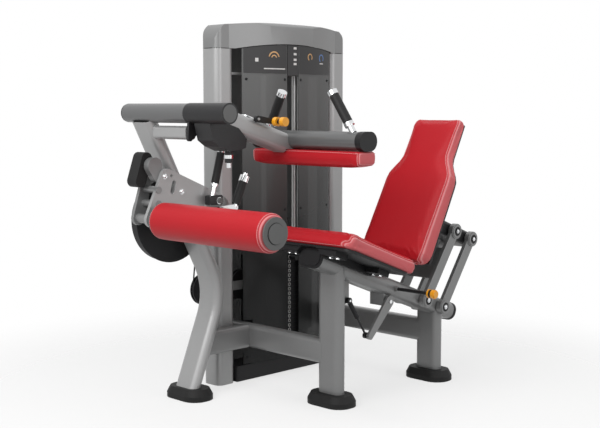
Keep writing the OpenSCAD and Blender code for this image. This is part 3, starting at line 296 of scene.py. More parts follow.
def scuff_group():
    """Thin stretched scratches that dull a polished skin"""
    group, inside, outside = new_group("Fine scuffs", ["Scale", "Roughness", "Amount"], ["Roughness"])
    place = object_place(group)
    stretched = add_node(group, "ShaderNodeMapping", None, {"Scale": (1.0, 0.12, 1.0),
                                                            "Rotation": (0.3, 0.2, 0.6)})
    group.links.new(place, stretched.inputs["Vector"])
    lines = noise_at(group, stretched.outputs["Vector"], inside.outputs["Scale"], 4.0, 0.7)
    sharp = math_node(group, "POWER", lines, 3.0)
    dulled = math_node(group, "MULTIPLY", sharp, inside.outputs["Amount"])
    group.links.new(math_node(group, "ADD", dulled, inside.outputs["Roughness"]), outside.inputs["Roughness"])
    return group


def vinyl_group():
    """Leather-like cells with fine pores"""
    group, inside, outside = new_group("Vinyl grain", ["Scale"], ["Height"])
    place = object_place(group)
    cells = add_node(group, "ShaderNodeTexVoronoi", {"feature": "SMOOTH_F1"}, {"Smoothness": 0.35})
    group.links.new(place, cells.inputs["Vector"])
    group.links.new(inside.outputs["Scale"], cells.inputs["Scale"])
    pores = noise_at(group, place, math_node(group, "MULTIPLY", inside.outputs["Scale"], 2.4), 2.0)
    height = math_node(group, "ADD", cells.outputs["Distance"], math_node(group, "MULTIPLY", pores, 0.35))
    group.links.new(height, outside.inputs["Height"])
    return group


def shared_group(name, maker):
    """The named shader group, made on its first use"""
    return bpy.data.node_groups.get(name) or maker()


def new_material(name):
    """The nodes and the Principled shader of a new material"""
    material = bpy.data.materials.new(name)
    material.use_nodes = True
    return material.node_tree, material.node_tree.nodes["Principled BSDF"]


def place_group(tree, group, values):
    """A shader group in a material, with its own values"""
    return add_node(tree, "ShaderNodeGroup", {"node_tree": group}, values)


def place_tone(tree, colour, worn, scale, amount, roughness, spread):
    """The uneven colour and gloss of one finish"""
    return place_group(tree, shared_group("Handled tone", tone_group),
                       {"Colour": (*colour, 1), "Worn colour": (*worn, 1), "Scale": scale, "Amount": amount,
                        "Roughness": roughness, "Spread": spread})


def add_bump(tree, height, shader, strength, distance):
    """A bump from a height into the shader's normal"""
    bump = add_node(tree, "ShaderNodeBump", None, {"Strength": strength, "Distance": distance})
    tree.links.new(height, bump.inputs["Height"])
    tree.links.new(bump.outputs["Normal"], shader.inputs["Normal"])


def skin_material(name, colour, worn, roughness, grain, settings=None, tone=(6.0, 0.5, 0.10)):
    """A finish: grain is scale, coarse share, strength and depth, tone is scale, amount and spread"""
    tree, shader = new_material(name)
    scale, amount, spread = tone
    mottle = place_tone(tree, colour, worn, scale, amount, roughness, spread)
    tree.links.new(mottle.outputs["Colour"], shader.inputs["Base Color"])
    tree.links.new(mottle.outputs["Roughness"], shader.inputs["Roughness"])
    pebble = place_group(tree, shared_group("Skin grain", grain_group),
                         {"Scale": grain[0], "Coarse share": grain[1]})
    add_bump(tree, pebble.outputs["Height"], shader, grain[2], grain[3])
    for key, value in (settings or {}).items():
        shader.inputs[key].default_value = value


def metal_material(name, colour, roughness, scuffed):
    """Bare metal with fine scuffs"""
    tree, shader = new_material(name)
    shader.inputs["Base Color"].default_value = (*colour, 1)
    shader.inputs["Metallic"].default_value = 1.0
    scuffs = place_group(tree, shared_group("Fine scuffs", scuff_group),
                         {"Scale": 60.0, "Roughness": roughness, "Amount": scuffed})
    tree.links.new(scuffs.outputs["Roughness"], shader.inputs["Roughness"])


def vinyl_material(colours):
    """Sewn vinyl from the cushion's attributes: main cover, paler side panels (painted sheen), lighter seams
    (painted highlight)
    """
    tree, shader = new_material("Sewn vinyl")
    grain = place_group(tree, shared_group("Vinyl grain", vinyl_group), {"Scale": 620.0})
    main = place_tone(tree, colours.vinyl, (0.42, 0.016, 0.022), 7.0, 0.55, 0.44, 0.14)
    # The side panels' paler red is a painted sheen
    side = place_tone(tree, colours.side_panel_sheen, (0.56, 0.150, 0.160), 16.0, 0.7, 0.48, 0.16)
    panel = add_node(tree, "ShaderNodeAttribute", {"attribute_name": "side_panel_sheen"})
    seam = add_node(tree, "ShaderNodeAttribute", {"attribute_name": "seam"})
    covered = mix_colour(tree, panel.outputs["Fac"], main.outputs["Colour"], side.outputs["Colour"])
    # The mix below lightens the cover towards the thread colour along both sides of each seam: a painted
    # highlight on the seam ridges
    seam_highlight = add_node(tree, "ShaderNodeRGB")
    seam_highlight.outputs[0].default_value = (*colours.thread, 1)
    worn = mix_colour(tree, seam.outputs["Fac"], covered, seam_highlight.outputs[0])
    tree.links.new(worn, shader.inputs["Base Color"])
    tree.links.new(main.outputs["Roughness"], shader.inputs["Roughness"])
    add_bump(tree, grain.outputs["Height"], shader, 0.22, 0.0006)
    shader.inputs["Specular IOR Level"].default_value = 0.22


def smoked_material(colours):
    """Smoked clear sheet, lighter towards its top with a painted reflection, that still shows the stack behind
    it
    """
    tree, shader = new_material("Smoked sheet")
    mottle = place_tone(tree, colours.smoke, (0.028, 0.028, 0.028), 2.0, 0.4, 0.22, 0.08)
    split = add_node(tree, "ShaderNodeSeparateXYZ")
    tree.links.new(object_place(tree), split.inputs[0])
    reflection_share = add_node(tree, "ShaderNodeMapRange", {"interpolation_type": "SMOOTHSTEP"},
                    {"From Min": 0.30, "From Max": 1.45, "To Min": 0.0, "To Max": 1.0})
    tree.links.new(split.outputs["Z"], reflection_share.inputs["Value"])
    # Lighter grey towards the top: a painted reflection of the bright studio above
    painted_reflection = add_node(tree, "ShaderNodeRGB")
    painted_reflection.outputs[0].default_value = (0.140, 0.144, 0.143, 1)
    tree.links.new(mix_colour(tree, reflection_share.outputs["Result"], mottle.outputs["Colour"], painted_reflection.outputs[0]),
                   shader.inputs["Base Color"])
    tree.links.new(mottle.outputs["Roughness"], shader.inputs["Roughness"])
    shader.inputs["Alpha"].default_value = 0.88
    shader.inputs["Specular IOR Level"].default_value = 0.2


def make_finishes(colours):
    """Makes every finish, which the pieces then find by its name"""
    # The second paint is the frame paint darkened as painted shade for the lower frame and links
    paints = [("Satin grey paint", colours.paint), ("Shaded grey paint", colours.shaded_paint),
              ("Dark satin paint", colours.dark_paint)]
    for name, colour in paints:
        skin_material(name, colour, [c * 1.12 for c in colour], 0.38, (900.0, 1.2, 0.05, 0.0004),
                      {"Metallic": 0.3, "Specular IOR Level": 0.4, "Coat Weight": 0.25,
                       "Coat Roughness": 0.2})
    skin_material("Grey moulding", (0.082, 0.084, 0.083), (0.11, 0.11, 0.11), 0.48,
                  (1400.0, 0.8, 0.16, 0.0004))
    skin_material("Printed plate", (0.040, 0.040, 0.041), (0.055, 0.055, 0.055), 0.42,
                  (1600.0, 0.4, 0.05, 0.0003), {"Specular IOR Level": 0.25})
    skin_material("Black moulding", colours.black, (0.020, 0.020, 0.021), 0.46, (1300.0, 0.8, 0.18, 0.0004),
                  {"Specular IOR Level": 0.22})
    skin_material("Black casting", colours.black, (0.024, 0.024, 0.025), 0.42, (420.0, 1.6, 0.35, 0.0008),
                  {"Specular IOR Level": 0.3}, (14.0, 0.8, 0.2))
    skin_material("Foot rubber", colours.rubber, (0.020, 0.020, 0.020), 0.60, (1100.0, 0.9, 0.25, 0.0005),
                  {"Specular IOR Level": 0.22})
    skin_material("Grip rubber", colours.rubber, (0.018, 0.018, 0.019), 0.52, (820.0, 0.3, 0.45, 0.0008),
                  {"Specular IOR Level": 0.25})
    skin_material("Amber moulding", colours.amber, (0.93, 0.44, 0.03), 0.30, (1200.0, 0.5, 0.06, 0.0003),
                  {"Coat Weight": 0.3, "Coat Roughness": 0.15})
    skin_material("Plate iron", (0.010, 0.010, 0.011), (0.022, 0.022, 0.023), 0.48,
                  (700.0, 1.2, 0.25, 0.0006), {"Specular IOR Level": 0.25})
    prints = [("White print", (0.74, 0.74, 0.72), (0.66, 0.66, 0.65)),
              ("Blue print", (0.10, 0.19, 0.42), (0.14, 0.24, 0.48)),
              ("Sand print", (0.62, 0.36, 0.15), (0.68, 0.42, 0.20))]
    for name, colour, worn in prints:
        skin_material(name, colour, worn, 0.5, (1500.0, 0.5, 0.05, 0.0002))
    skin_material("Seam thread", colours.thread, (0.70, 0.25, 0.26), 0.7, (2600.0, 0.4, 0.4, 0.0003))
    metal_material("Chrome", (0.72, 0.73, 0.74), 0.10, 0.35)
    metal_material("Ground steel", (0.66, 0.66, 0.65), 0.36, 0.25)
    smoked_material(colours)
    vinyl_material(colours)


# Building blocks for new pieces
def add_object(name, data):
    """A new object in the scene"""
    made = bpy.data.objects.new(name, data)
    bpy.context.scene.collection.objects.link(made)
    return made


def finish_piece(bm, name, body, material, slot, sharp=40.0):
    """Makes a bmesh a piece that rides on a body, smooth apart from its sharp edges"""
    limit = math.radians(sharp)
    for face in bm.faces:
        face.smooth = True
    for edge in bm.edges:
        edge.smooth = len(edge.link_faces) == 2 and edge.calc_face_angle(0.0) < limit
    mesh = bpy.data.meshes.new(name)
    bm.to_mesh(mesh)
    bm.free()
    mesh.materials.append(bpy.data.materials[material])
    piece = add_object(name, mesh)
    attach(piece, body)


def axis_frame(centre, axis):
    """Matrix whose Z runs along an axis from a centre"""
    turn = Vector(axis).normalized().to_track_quat("Z", "Y").to_matrix().to_4x4()
    return Matrix.Translation(centre) @ turn


def spun(bm, profile, matrix, steps=24):
    """Adds a solid of revolution: profile is (radius, height) pairs in metres, about the matrix's Z"""
    old = set(bm.verts)
    made = [bm.verts.new((radius, 0.0, height)) for radius, height in profile]
    edges = [bm.edges.new(pair) for pair in zip(made, made[1:])]
    bmesh.ops.spin(bm, geom=made + edges, cent=(0, 0, 0), axis=(0, 0, 1), angle=math.tau, steps=steps,
                   use_merge=True, use_duplicate=False)
    bmesh.ops.remove_doubles(bm, verts=[v for v in bm.verts if v not in old], dist=1e-6)
    fresh = [v for v in bm.verts if v not in old]
    bmesh.ops.recalc_face_normals(bm, faces=list({f for v in fresh for f in v.link_faces}))
    bmesh.ops.transform(bm, matrix=matrix, verts=fresh)


def collar(bm, centre, axis, inner, outer, height):
    """Adds a flat ring with a broken outer edge, all in millimetres but its centre"""
    chamfer = min(0.6, height / 3)
    profile = [(inner, 0.0), (inner, height), (outer - chamfer, height), (outer, height - chamfer),
               (outer, 0.0), (inner, 0.0)]
    spun(bm, [(r * MM, h * MM) for r, h in profile], axis_frame(centre, axis), steps=36)


def ring_piece(rings, *finish):
    """Makes a piece of flat rings, each with its centre, axis and size"""
    bm = bmesh.new()
    for centre, axis, size in rings:
        collar(bm, centre, axis, **size)
    finish_piece(bm, *finish)


def button_head(bm, centre, axis, radius, height):
    """Adds a domed screw head with a round washer and a recess"""
    r, h = radius * MM, height * MM
    shares = [(0.0, 0.45), (0.36, 0.45), (0.40, 0.95), (0.62, 1.0), (0.84, 0.78), (0.94, 0.42), (0.96, 0.2),
              (1.22, 0.2), (1.26, 0.1), (1.26, -0.15), (0.0, -0.15)]
    spun(bm, [(r * across, h * up) for across, up in shares], axis_frame(centre, axis))


def rounded_block(bm, centre, size, edge, turn=None, upright_only=False):
    """Adds a box with rounded edges, or only its upright ones; size and edge in millimetres"""
    old = set(bm.verts)
    made = bmesh.ops.create_cube(bm, size=1.0)["verts"]
    bmesh.ops.scale(bm, vec=Vector(size) * MM, verts=made)
    edges = {e for v in made for e in v.link_edges}
    if upright_only:
        edges = {e for e in edges if abs(e.verts[0].co.z - e.verts[1].co.z) > 1e-6}
    bmesh.ops.bevel(bm, geom=list(edges), offset=edge * MM, offset_type="OFFSET", segments=4, profile=0.5,
                    affect="EDGES", material=-1)
    matrix = Matrix.Translation(centre) @ (turn or Matrix.Identity(4))
    bmesh.ops.transform(bm, matrix=matrix, verts=[v for v in bm.verts if v not in old])


# Prints and screws on the tower's curved front
def bow_point(u, lift, z, radius):
    """A point on the bow: u along its arc from the middle, lift out of it, in millimetres"""
    angle = u / radius
    far = radius + lift
    return at(TOWER_X + far * math.sin(angle), TOWER_Y + BOW_R - BOW_APEX - far * math.cos(angle), z)


def print_bar(bm, u0, u1, z0, z1):
    """Adds a flat bar to a print, drawn in millimetres with its height along Z"""
    flat = Matrix.Translation(((u0 + u1) / 2, 0, (z0 + z1) / 2)) @ Matrix.Rotation(math.pi / 2, 4, "X")
    size = Matrix.Diagonal((u1 - u0, z1 - z0, 1.0, 1.0))
    bmesh.ops.create_grid(bm, x_segments=8, y_segments=1, size=0.5, matrix=flat @ size)


def print_arc(bm, u, z, inner, outer, start, sweep):
    """Adds a flat ring sector to a print, angles in degrees"""
    turn = math.radians(start)
    ends = [bm.verts.new((u + r * math.cos(turn), 0, z + r * math.sin(turn))) for r in (inner, outer)]
    line = bm.edges.new(ends)
    bmesh.ops.spin(bm, geom=ends + [line], cent=(u, 0, z), axis=TO_FRONT, angle=math.radians(sweep),
                   steps=20, use_merge=False, use_duplicate=False)


def finish_print(bm, name, material, radius):
    """Gives a flat print its thickness, lays it on the bow and makes it a piece of the tower"""
    thickness = 0.4
    bmesh.ops.recalc_face_normals(bm, faces=bm.faces)
    bmesh.ops.solidify(bm, geom=list(bm.faces), thickness=thickness)
    middle = sum(v.co.y for v in bm.verts) / len(bm.verts)
    for vert in bm.verts:
        vert.co = bow_point(vert.co.x, middle - vert.co.y + thickness / 2, vert.co.z, radius)
    bmesh.ops.recalc_face_normals(bm, faces=bm.faces)
    finish_piece(bm, name, "base", material, "placard")


# Sewn cushions
def local_half(p, along):
    """Widest reach across a cushion at each point's place along it, in millimetres"""
    step = 10.0
    place = p[:, along] - p[:, along].min()
    index = (place / step).astype(int)
    widest = np.zeros(index.max() + 1)
    np.maximum.at(widest, index, np.abs(p[:, 1]))
    return np.interp(place, (np.arange(len(widest)) + 0.5) * step, widest)


def vectors(mesh, kind):
    """The places or normals of a mesh's points, one row each"""
    values = np.zeros(len(mesh.vertices) * 3)
    mesh.vertices.foreach_get(kind, values)
    return values.reshape(-1, 3)


def local_points(mesh, matrix):
    """The mesh's points in a cushion's own axes, in millimetres"""
    turned = np.array(matrix.inverted())
    return (vectors(mesh, "co") @ turned[:3, :3].T + turned[:3, 3]) / MM


def seam_fields(kind, p):
    """Distance past a cushion's outline and height over its base, in millimetres"""
    x, y, z = p.T
    if kind == "seat":
        return np.abs(y) - local_half(p, 0), z - SEAT_BASE
    if kind == "back":
        return np.abs(y) - local_half(p, 2), -x
    if kind == "thigh":
        return np.abs(y) - THIGH_LEN / 2, -z
    return np.abs(y) - (ROLLER_Y[1] - ROLLER_Y[0]) / 2, np.hypot(x, z) - ROLLER_SLEEVE_R


def cushion_axes(x, y, z, tilt):
    """Axes of a cushion at a point of the drawing, tilted about Y by degrees"""
    return Matrix.Translation(at(x, y, z)) @ Matrix.Rotation(math.radians(tilt), 4, "Y")


# Node, body, place and tilt, and whether the side panels tuck under the cushion
CUSHIONS = {
    "seat": ("seat_pad", "base", (SEAT_X, 0, rail_z(SEAT_X), RAIL_TILT), True),
    "back": ("back_pad", "back", (BACK_FOOT[0], 0, BACK_FOOT[1], BACK_LEAN), True),
    "thigh": ("thigh_pad", "thigh_hold", (THIGH_PLANE[0], 0, THIGH_PLANE[1], 0), False),
    "roller": ("roller_pad", "roller", (ROLLER[0], sum(ROLLER_Y) / 2, ROLLER[1], 0), False),
}
FILL_FRAMES = 20
STITCH_OFFSET = 4.6


def settle(piece):
    """Puts what a piece's modifiers make in place of its mesh"""
    old = piece.data
    evaluated = piece.evaluated_get(bpy.context.evaluated_depsgraph_get())
    piece.data = bpy.data.meshes.new_from_object(evaluated)
    piece.modifiers.clear()
    bpy.data.meshes.remove(old)


def cover_start(node, settings):
    """A merged copy of a CAD cushion, remeshed to an even cloth"""
    bm = bmesh.new()
    bm.from_mesh(frame["nodes"][node].data)
    bmesh.ops.remove_doubles(bm, verts=bm.verts, dist=1e-5)
    bmesh.ops.recalc_face_normals(bm, faces=bm.faces)
    mesh = bpy.data.meshes.new(node + "_cover")
    bm.to_mesh(mesh)
    bm.free()
    piece = add_object(node + "_cover", mesh)
    piece.modifiers.new("Even cloth", "REMESH").voxel_size = settings.voxel
    settle(piece)
    return piece


def draw_in(mesh, distance, movable):
    """Moves the points that may move inwards along their normals"""
    moved = vectors(mesh, "co") - vectors(mesh, "normal") * (distance * movable)[:, None]
    mesh.vertices.foreach_set("co", moved.ravel())
    mesh.update()


def fill_cover(piece, held, settings):
    """Lets the filling push the cover out, holding its back, and caps how far a point goes"""
    start = vectors(piece.data, "co")
    group = piece.vertex_groups.new(name="held")
    group.add([int(i) for i in np.flatnonzero(held)], 1.0, "REPLACE")
    cloth = piece.modifiers.new("Filling", "CLOTH")
    cloth.settings.quality = 4
    cloth.settings.mass = 0.3
    cloth.settings.tension_stiffness = 22
    cloth.settings.compression_stiffness = 22
    cloth.settings.bending_stiffness = 1.2
    cloth.settings.use_pressure = True
    cloth.settings.uniform_pressure_force = 4.0
    cloth.settings.vertex_group_mass = "held"
    cloth.settings.effector_weights.gravity = 0.0
    cloth.point_cache.frame_start = 1
    cloth.point_cache.frame_end = FILL_FRAMES
    scene = bpy.context.scene
    for number in range(1, FILL_FRAMES + 1):
        scene.frame_set(number)
    evaluated = piece.evaluated_get(bpy.context.evaluated_depsgraph_get())
    step = vectors(evaluated.data, "co") - start
    piece.modifiers.clear()
    scene.frame_set(1)
    length = np.linalg.norm(step, axis=1)
    capped = settings.swell * np.tanh(length / settings.swell)
    scale = np.where(length > 1e-9, capped / np.maximum(length, 1e-9), 0.0)
    piece.data.vertices.foreach_set("co", (start + step * scale[:, None]).ravel())
    piece.data.update()


def refine(piece):
    """One applied subdivision of the cover"""
    smooth = piece.modifiers.new("Finer", "SUBSURF")
    smooth.levels = 1
    smooth.render_levels = 1
    settle(piece)


def mark(mesh, name, values):
    """Keeps a value at every point of a mesh"""
    attribute = mesh.attributes.get(name) or mesh.attributes.new(name, "FLOAT", "POINT")
    attribute.data.foreach_set("value", values.astype(np.float32))


def marked(mesh, name):
    """Reads a value back from every point of a mesh"""
    values = np.zeros(len(mesh.vertices), np.float32)
    mesh.attributes[name].data.foreach_get("value", values)
    return values.astype(float)


def soften(mesh, values, rounds):
    """Evens out a value at the points along the mesh's edges"""
    count = len(mesh.vertices)
    pairs = np.zeros(len(mesh.edges) * 2, np.int64)
    mesh.edges.foreach_get("vertices", pairs)
    a, b = pairs.reshape(-1, 2).T
    links = np.maximum(np.bincount(a, minlength=count) + np.bincount(b, minlength=count), 1)
    for _ in range(rounds):
        total = np.bincount(a, values[b], count) + np.bincount(b, values[a], count)
        values = 0.5 * values + 0.5 * total / links
    return values


def seam_gap(mesh, side, height, tucked, settings):
    """Distance past the seam in millimetres: side panels are positive, also where they tuck under"""
    gap = side + settings.inset / MM
    if tucked:
        reach = 45.0
        gap = np.maximum(gap, np.minimum(0.35 * height.max() - height, 0.5 * (side + reach)))
    return soften(mesh, gap, 5)


def sew(mesh, settings):
    """Presses the seams into the cover and marks the side panels for a painted sheen and the seam edges for a
    painted highlight
    """
    gap = marked(mesh, "gap")
    height = marked(mesh, "height")
    face = np.clip((height - 3.0) / 4.0, 0.0, 1.0)
    groove = np.exp(-(gap / 2.2) ** 2) - 0.3 * np.exp(-((np.abs(gap) - 6.0) / 2.6) ** 2)
    draw_in(mesh, settings.groove, groove * face)
    # Marks the side panels, which get the paler red of painted sheen
    mark(mesh, "side_panel_sheen", np.clip(gap / 2.0 + 0.5, 0.0, 1.0))
    # Lighter band along the stitch rows: a painted highlight on the seam ridges
    mark(mesh, "seam", 0.8 * np.exp(-((np.abs(gap) - STITCH_OFFSET) / 1.5) ** 2) * face)
    return gap, height


def contour(mesh, values, level):
    """Lines on the mesh where a value at its points crosses a level, as lists of points and normals"""
    mesh.calc_loop_triangles()
    corners = np.zeros(len(mesh.loop_triangles) * 3, np.int64)
    mesh.loop_triangles.foreach_get("vertices", corners)
    corners = corners.reshape(-1, 3)
    above = values[corners] > level
    mixed = corners[above.any(1) & ~above.all(1)]
    links = {}
    for triangle in mixed.tolist():
        ends = []
        for i, j in ((0, 1), (1, 2), (2, 0)):
            a, b = sorted((triangle[i], triangle[j]))
            if (values[a] > level) != (values[b] > level):
                ends.append((a, b))
        links.setdefault(ends[0], []).append(ends[1])
        links.setdefault(ends[1], []).append(ends[0])
    lines = []
    unused = set(links)
    while unused:
        key = min(unused)
        line = []
        while key is not None:
            unused.discard(key)
            a, b = key
            share = (level - values[a]) / (values[b] - values[a])
            first, second = mesh.vertices[a], mesh.vertices[b]
            line.append((first.co.lerp(second.co, share), first.normal.lerp(second.normal, share)))
            key = next((k for k in links[key] if k in unused), None)
        lines.append(line)
    return lines


def stitch_rows(piece, gap, height, settings):
    """A mesh of thread stitches along both sides of each seam"""
    bm = bmesh.new()
    mesh = piece.data
    base = height.min()
    for level in (-STITCH_OFFSET, STITCH_OFFSET):
        visible = np.where(height - base > 5.0, gap, level + 50.0)
        for line in contour(mesh, visible, level):
            travelled = settings.stitch / 2
            for (p, normal), (q, _) in zip(line, line[1:]):
                span = (q - p).length
                if span < 1e-7 or span > 0.02:
                    continue
                travelled += span
                if travelled < settings.stitch:
                    continue
                travelled = 0.0
                along = (q - p).normalized()
                across = normal.normalized().cross(along).normalized()
                up = along.cross(across)
                turn = Matrix((along, across, up)).transposed().to_4x4()
                size = Matrix.Diagonal((settings.stitch * 0.40, 0.0011, 0.0009, 1.0))
                matrix = Matrix.Translation(p + normal.normalized() * 0.0002) @ turn @ size
                bmesh.ops.create_icosphere(bm, subdivisions=1, radius=1.0, matrix=matrix)
    return bm


def make_cushion(kind):
    """One cushion with its filling, seams and stitches"""
    node, body, place, tucked = CUSHIONS[kind]
    settings = bpy.context.scene.leg_cushion
    piece = cover_start(node, settings)
    side, height = seam_fields(kind, local_points(piece.data, cushion_axes(*place)))
    mark(piece.data, "gap", seam_gap(piece.data, side, height, tucked, settings))
    mark(piece.data, "height", height)
    held = height < 5.0
    draw_in(piece.data, settings.shrink, np.clip((height - 2.0) / 8.0, 0.0, 1.0))
    fill_cover(piece, held, settings)
    refine(piece)
    gap, height = sew(piece.data, settings)
    piece.name = kind + "_cushion"
    piece.data.name = piece.name
    piece.data.shade_smooth()
    piece.data.materials.clear()
    piece.data.materials.append(bpy.data.materials["Sewn vinyl"])
    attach(piece, body)
    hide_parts(node)
    threads = stitch_rows(piece, gap, height, settings)
    finish_piece(threads, kind + "_stitches", body, "Seam thread", "red_vinyl", sharp=180.0)


class LegMachineOperator:
    """What the operators share"""

    bl_options = {"REGISTER", "UNDO"}


class LEGMACHINE_OT_stage(LegMachineOperator, bpy.types.Operator):
    """Pale floor, soft lamps, even surroundings and the camera"""

    bl_idname = "leg_machine.stage"
    bl_label = "Stage"

    camera_place = (-3286.05, -3102.02, 1223.0)
    azimuth = -45.0
    pitch = 5.52
    lens_ratio = 1118.0 / 600.0
    sensor = 36.0
    lamp_aim = (150, 200, 700)
    floor_radius = 6.0
    floor_drop = 0.001

    def make_camera(self):
        data = bpy.data.cameras.new("photo_camera")
        data.sensor_fit = "HORIZONTAL"
        data.sensor_width = self.sensor
        data.lens = self.sensor * self.lens_ratio
        camera = add_object("photo_camera", data)
        a, e = math.radians(self.azimuth), math.radians(self.pitch)
        back = Vector((math.sin(a) * math.cos(e), -math.cos(a) * math.cos(e), math.sin(e)))
        camera.rotation_mode = "QUATERNION"
        camera.location = at(*self.camera_place)
        camera.rotation_quaternion = (-back).to_track_quat("-Z", "Y")
        bpy.context.scene.camera = camera

    def make_lamp(self, name, place, size, power):
        data = bpy.data.lights.new(name, "AREA")
        data.shape = "RECTANGLE"
        data.size, data.size_y = size
        data.energy = power
        lamp = add_object(name, data)
        lamp.location = place
        aim = at(*self.lamp_aim) - Vector(place)
        lamp.rotation_mode = "QUATERNION"
        lamp.rotation_quaternion = aim.to_track_quat("-Z", "Y")

    def make_floor(self):
        bm = bmesh.new()
        bmesh.ops.create_circle(bm, cap_ends=True, segments=96, radius=self.floor_radius)
        mesh = bpy.data.meshes.new("floor")
        bm.to_mesh(mesh)
        bm.free()
        floor = add_object("floor", mesh)
        floor.location.z = -self.floor_drop
        tree, shader = new_material("Studio floor")
        shader.inputs["Base Color"].default_value = (0.93, 0.93, 0.93, 1)
        shader.inputs["Roughness"].default_value = 0.9
        shader.inputs["Specular IOR Level"].default_value = 0.1
        reach = add_node(tree, "ShaderNodeVectorMath", {"operation": "LENGTH"})
        tree.links.new(object_place(tree), reach.inputs[0])
        fade = add_node(tree, "ShaderNodeMapRange", {"interpolation_type": "SMOOTHSTEP"},
                        {"From Min": 1.1, "From Max": 2.3, "To Min": 0.32, "To Max": 0.0})
        tree.links.new(reach.outputs["Value"], fade.inputs["Value"])
        tree.links.new(fade.outputs["Result"], shader.inputs["Alpha"])
        mesh.materials.append(bpy.data.materials["Studio floor"])

    def make_world(self, ambient):
        world = bpy.data.worlds.new("Studio")
        bpy.context.scene.world = world
        world.use_nodes = True
        tree = world.node_tree
        lit = tree.nodes["Background"]
        lit.inputs["Color"].default_value = (1, 1, 1, 1)
        lit.inputs["Strength"].default_value = ambient
        seen = add_node(tree, "ShaderNodeBackground", None, {"Color": (1, 1, 1, 1), "Strength": 1.0})
        rays = tree.nodes.new("ShaderNodeLightPath")
        shown = rays.outputs["Is Camera Ray"]
        for name in ("Is Glossy Ray", "Is Transmission Ray"):
            shown = math_node(tree, "MAXIMUM", shown, rays.outputs[name])
        mix = tree.nodes.new("ShaderNodeMixShader")
        tree.links.new(shown, mix.inputs[0])
        tree.links.new(lit.outputs[0], mix.inputs[1])
        tree.links.new(seen.outputs[0], mix.inputs[2])
        tree.links.new(mix.outputs[0], tree.nodes["World Output"].inputs["Surface"])

    def execute(self, context):
        stage = context.scene.leg_stage
        context.scene.view_settings.view_transform = "Standard"
        self.make_camera()
        self.make_floor()
        self.make_world(stage.ambient)
        self.make_lamp("key_lamp", (-3.4, -0.6, 3.0), (2.4, 2.4), stage.key)
        self.make_lamp("side_lamp", (0.9, -3.6, 1.9), (2.6, 2.0), stage.side)
        self.make_lamp("top_lamp", (0.2, 0.0, 4.2), (3.0, 3.0), stage.top)
        self.make_lamp("front_lamp", (-2.9, -2.9, 1.9), (1.6, 1.6), stage.front)
        return {"FINISHED"}


class LEGMACHINE_OT_finishes(LegMachineOperator, bpy.types.Operator):
    """Finishes on the frame's own nodes, with their edges broken"""

    bl_idname = "leg_machine.finishes"
    bl_label = "Frame finishes"

    def execute(self, context):
        make_finishes(context.scene.leg_finish)
        for name, nodes in FINISHES.items():
            for node in nodes:
                shown = frame["nodes"][node]
                shown.data.materials.clear()
                shown.data.materials.append(bpy.data.materials[name])
        for width, nodes in SOFTENED.items():
            for node in nodes:
                self.break_edges(frame["nodes"][node], width * MM)
        return {"FINISHED"}

    def break_edges(self, shown, width):
        """Rounds a node's edges with modifiers, which leave its mesh as it is"""
        joined = shown.modifiers.new("Joined", "WELD")
        joined.merge_threshold = 1e-5
        broken = shown.modifiers.new("Broken edges", "BEVEL")
        broken.width = width
        broken.segments = 2
        broken.limit_method = "ANGLE"
        broken.angle_limit = math.radians(38)
        broken.harden_normals = True
        even = shown.modifiers.new("Even shading", "WEIGHTED_NORMAL")
        even.keep_sharp = True


class LEGMACHINE_OT_seat_cushion(LegMachineOperator, bpy.types.Operator):
    """Seat pad"""

    bl_idname = "leg_machine.seat_cushion"
    bl_label = "Seat cushion"

    def execute(self, context):
        make_cushion("seat")
        return {"FINISHED"}


class LEGMACHINE_OT_back_cushion(LegMachineOperator, bpy.types.Operator):
    """Back pad"""

    bl_idname = "leg_machine.back_cushion"
    bl_label = "Back cushion"

    def execute(self, context):
        make_cushion("back")
        return {"FINISHED"}


class LEGMACHINE_OT_thigh_cushion(LegMachineOperator, bpy.types.Operator):
    """Hold-down pad over the thighs"""

    bl_idname = "leg_machine.thigh_cushion"
    bl_label = "Thigh cushion"

    def execute(self, context):
        make_cushion("thigh")
        return {"FINISHED"}


class LEGMACHINE_OT_roller_cushion(LegMachineOperator, bpy.types.Operator):
    """Padded roller"""

    bl_idname = "leg_machine.roller_cushion"
    bl_label = "Roller cushion"

    def execute(self, context):
        make_cushion("roller")
        return {"FINISHED"}


class LEGMACHINE_OT_plate_rings(LegMachineOperator, bpy.types.Operator):
    """Pale eyelets around the selector holes of the weight plates"""

    bl_idname = "leg_machine.plate_rings"
    bl_label = "Plate eyelets"

    profile = [(5.2, 0.0), (5.3, 0.9), (5.9, 1.3), (7.0, 1.2), (7.6, 0.6), (7.7, 0.0)]

    def eyelets(self, name, plates, body):
        bm = bmesh.new()
        shape = [(r * MM, h * MM) for r, h in self.profile]
        for plate in plates:
            centre = at(TOWER_X, PLATE_FRONT, STACK_Z + PLATE_PITCH * (plate + 0.5))
            spun(bm, shape, axis_frame(centre, TO_FRONT))
        finish_piece(bm, name, body, "White print", "grey_cap")

    def execute(self, context):
        self.eyelets("plate_eyelets", range(PIN_PLATE), "base")
        self.eyelets("lifted_plate_eyelet", [PIN_PLATE], "lifted_weight")
        return {"FINISHED"}


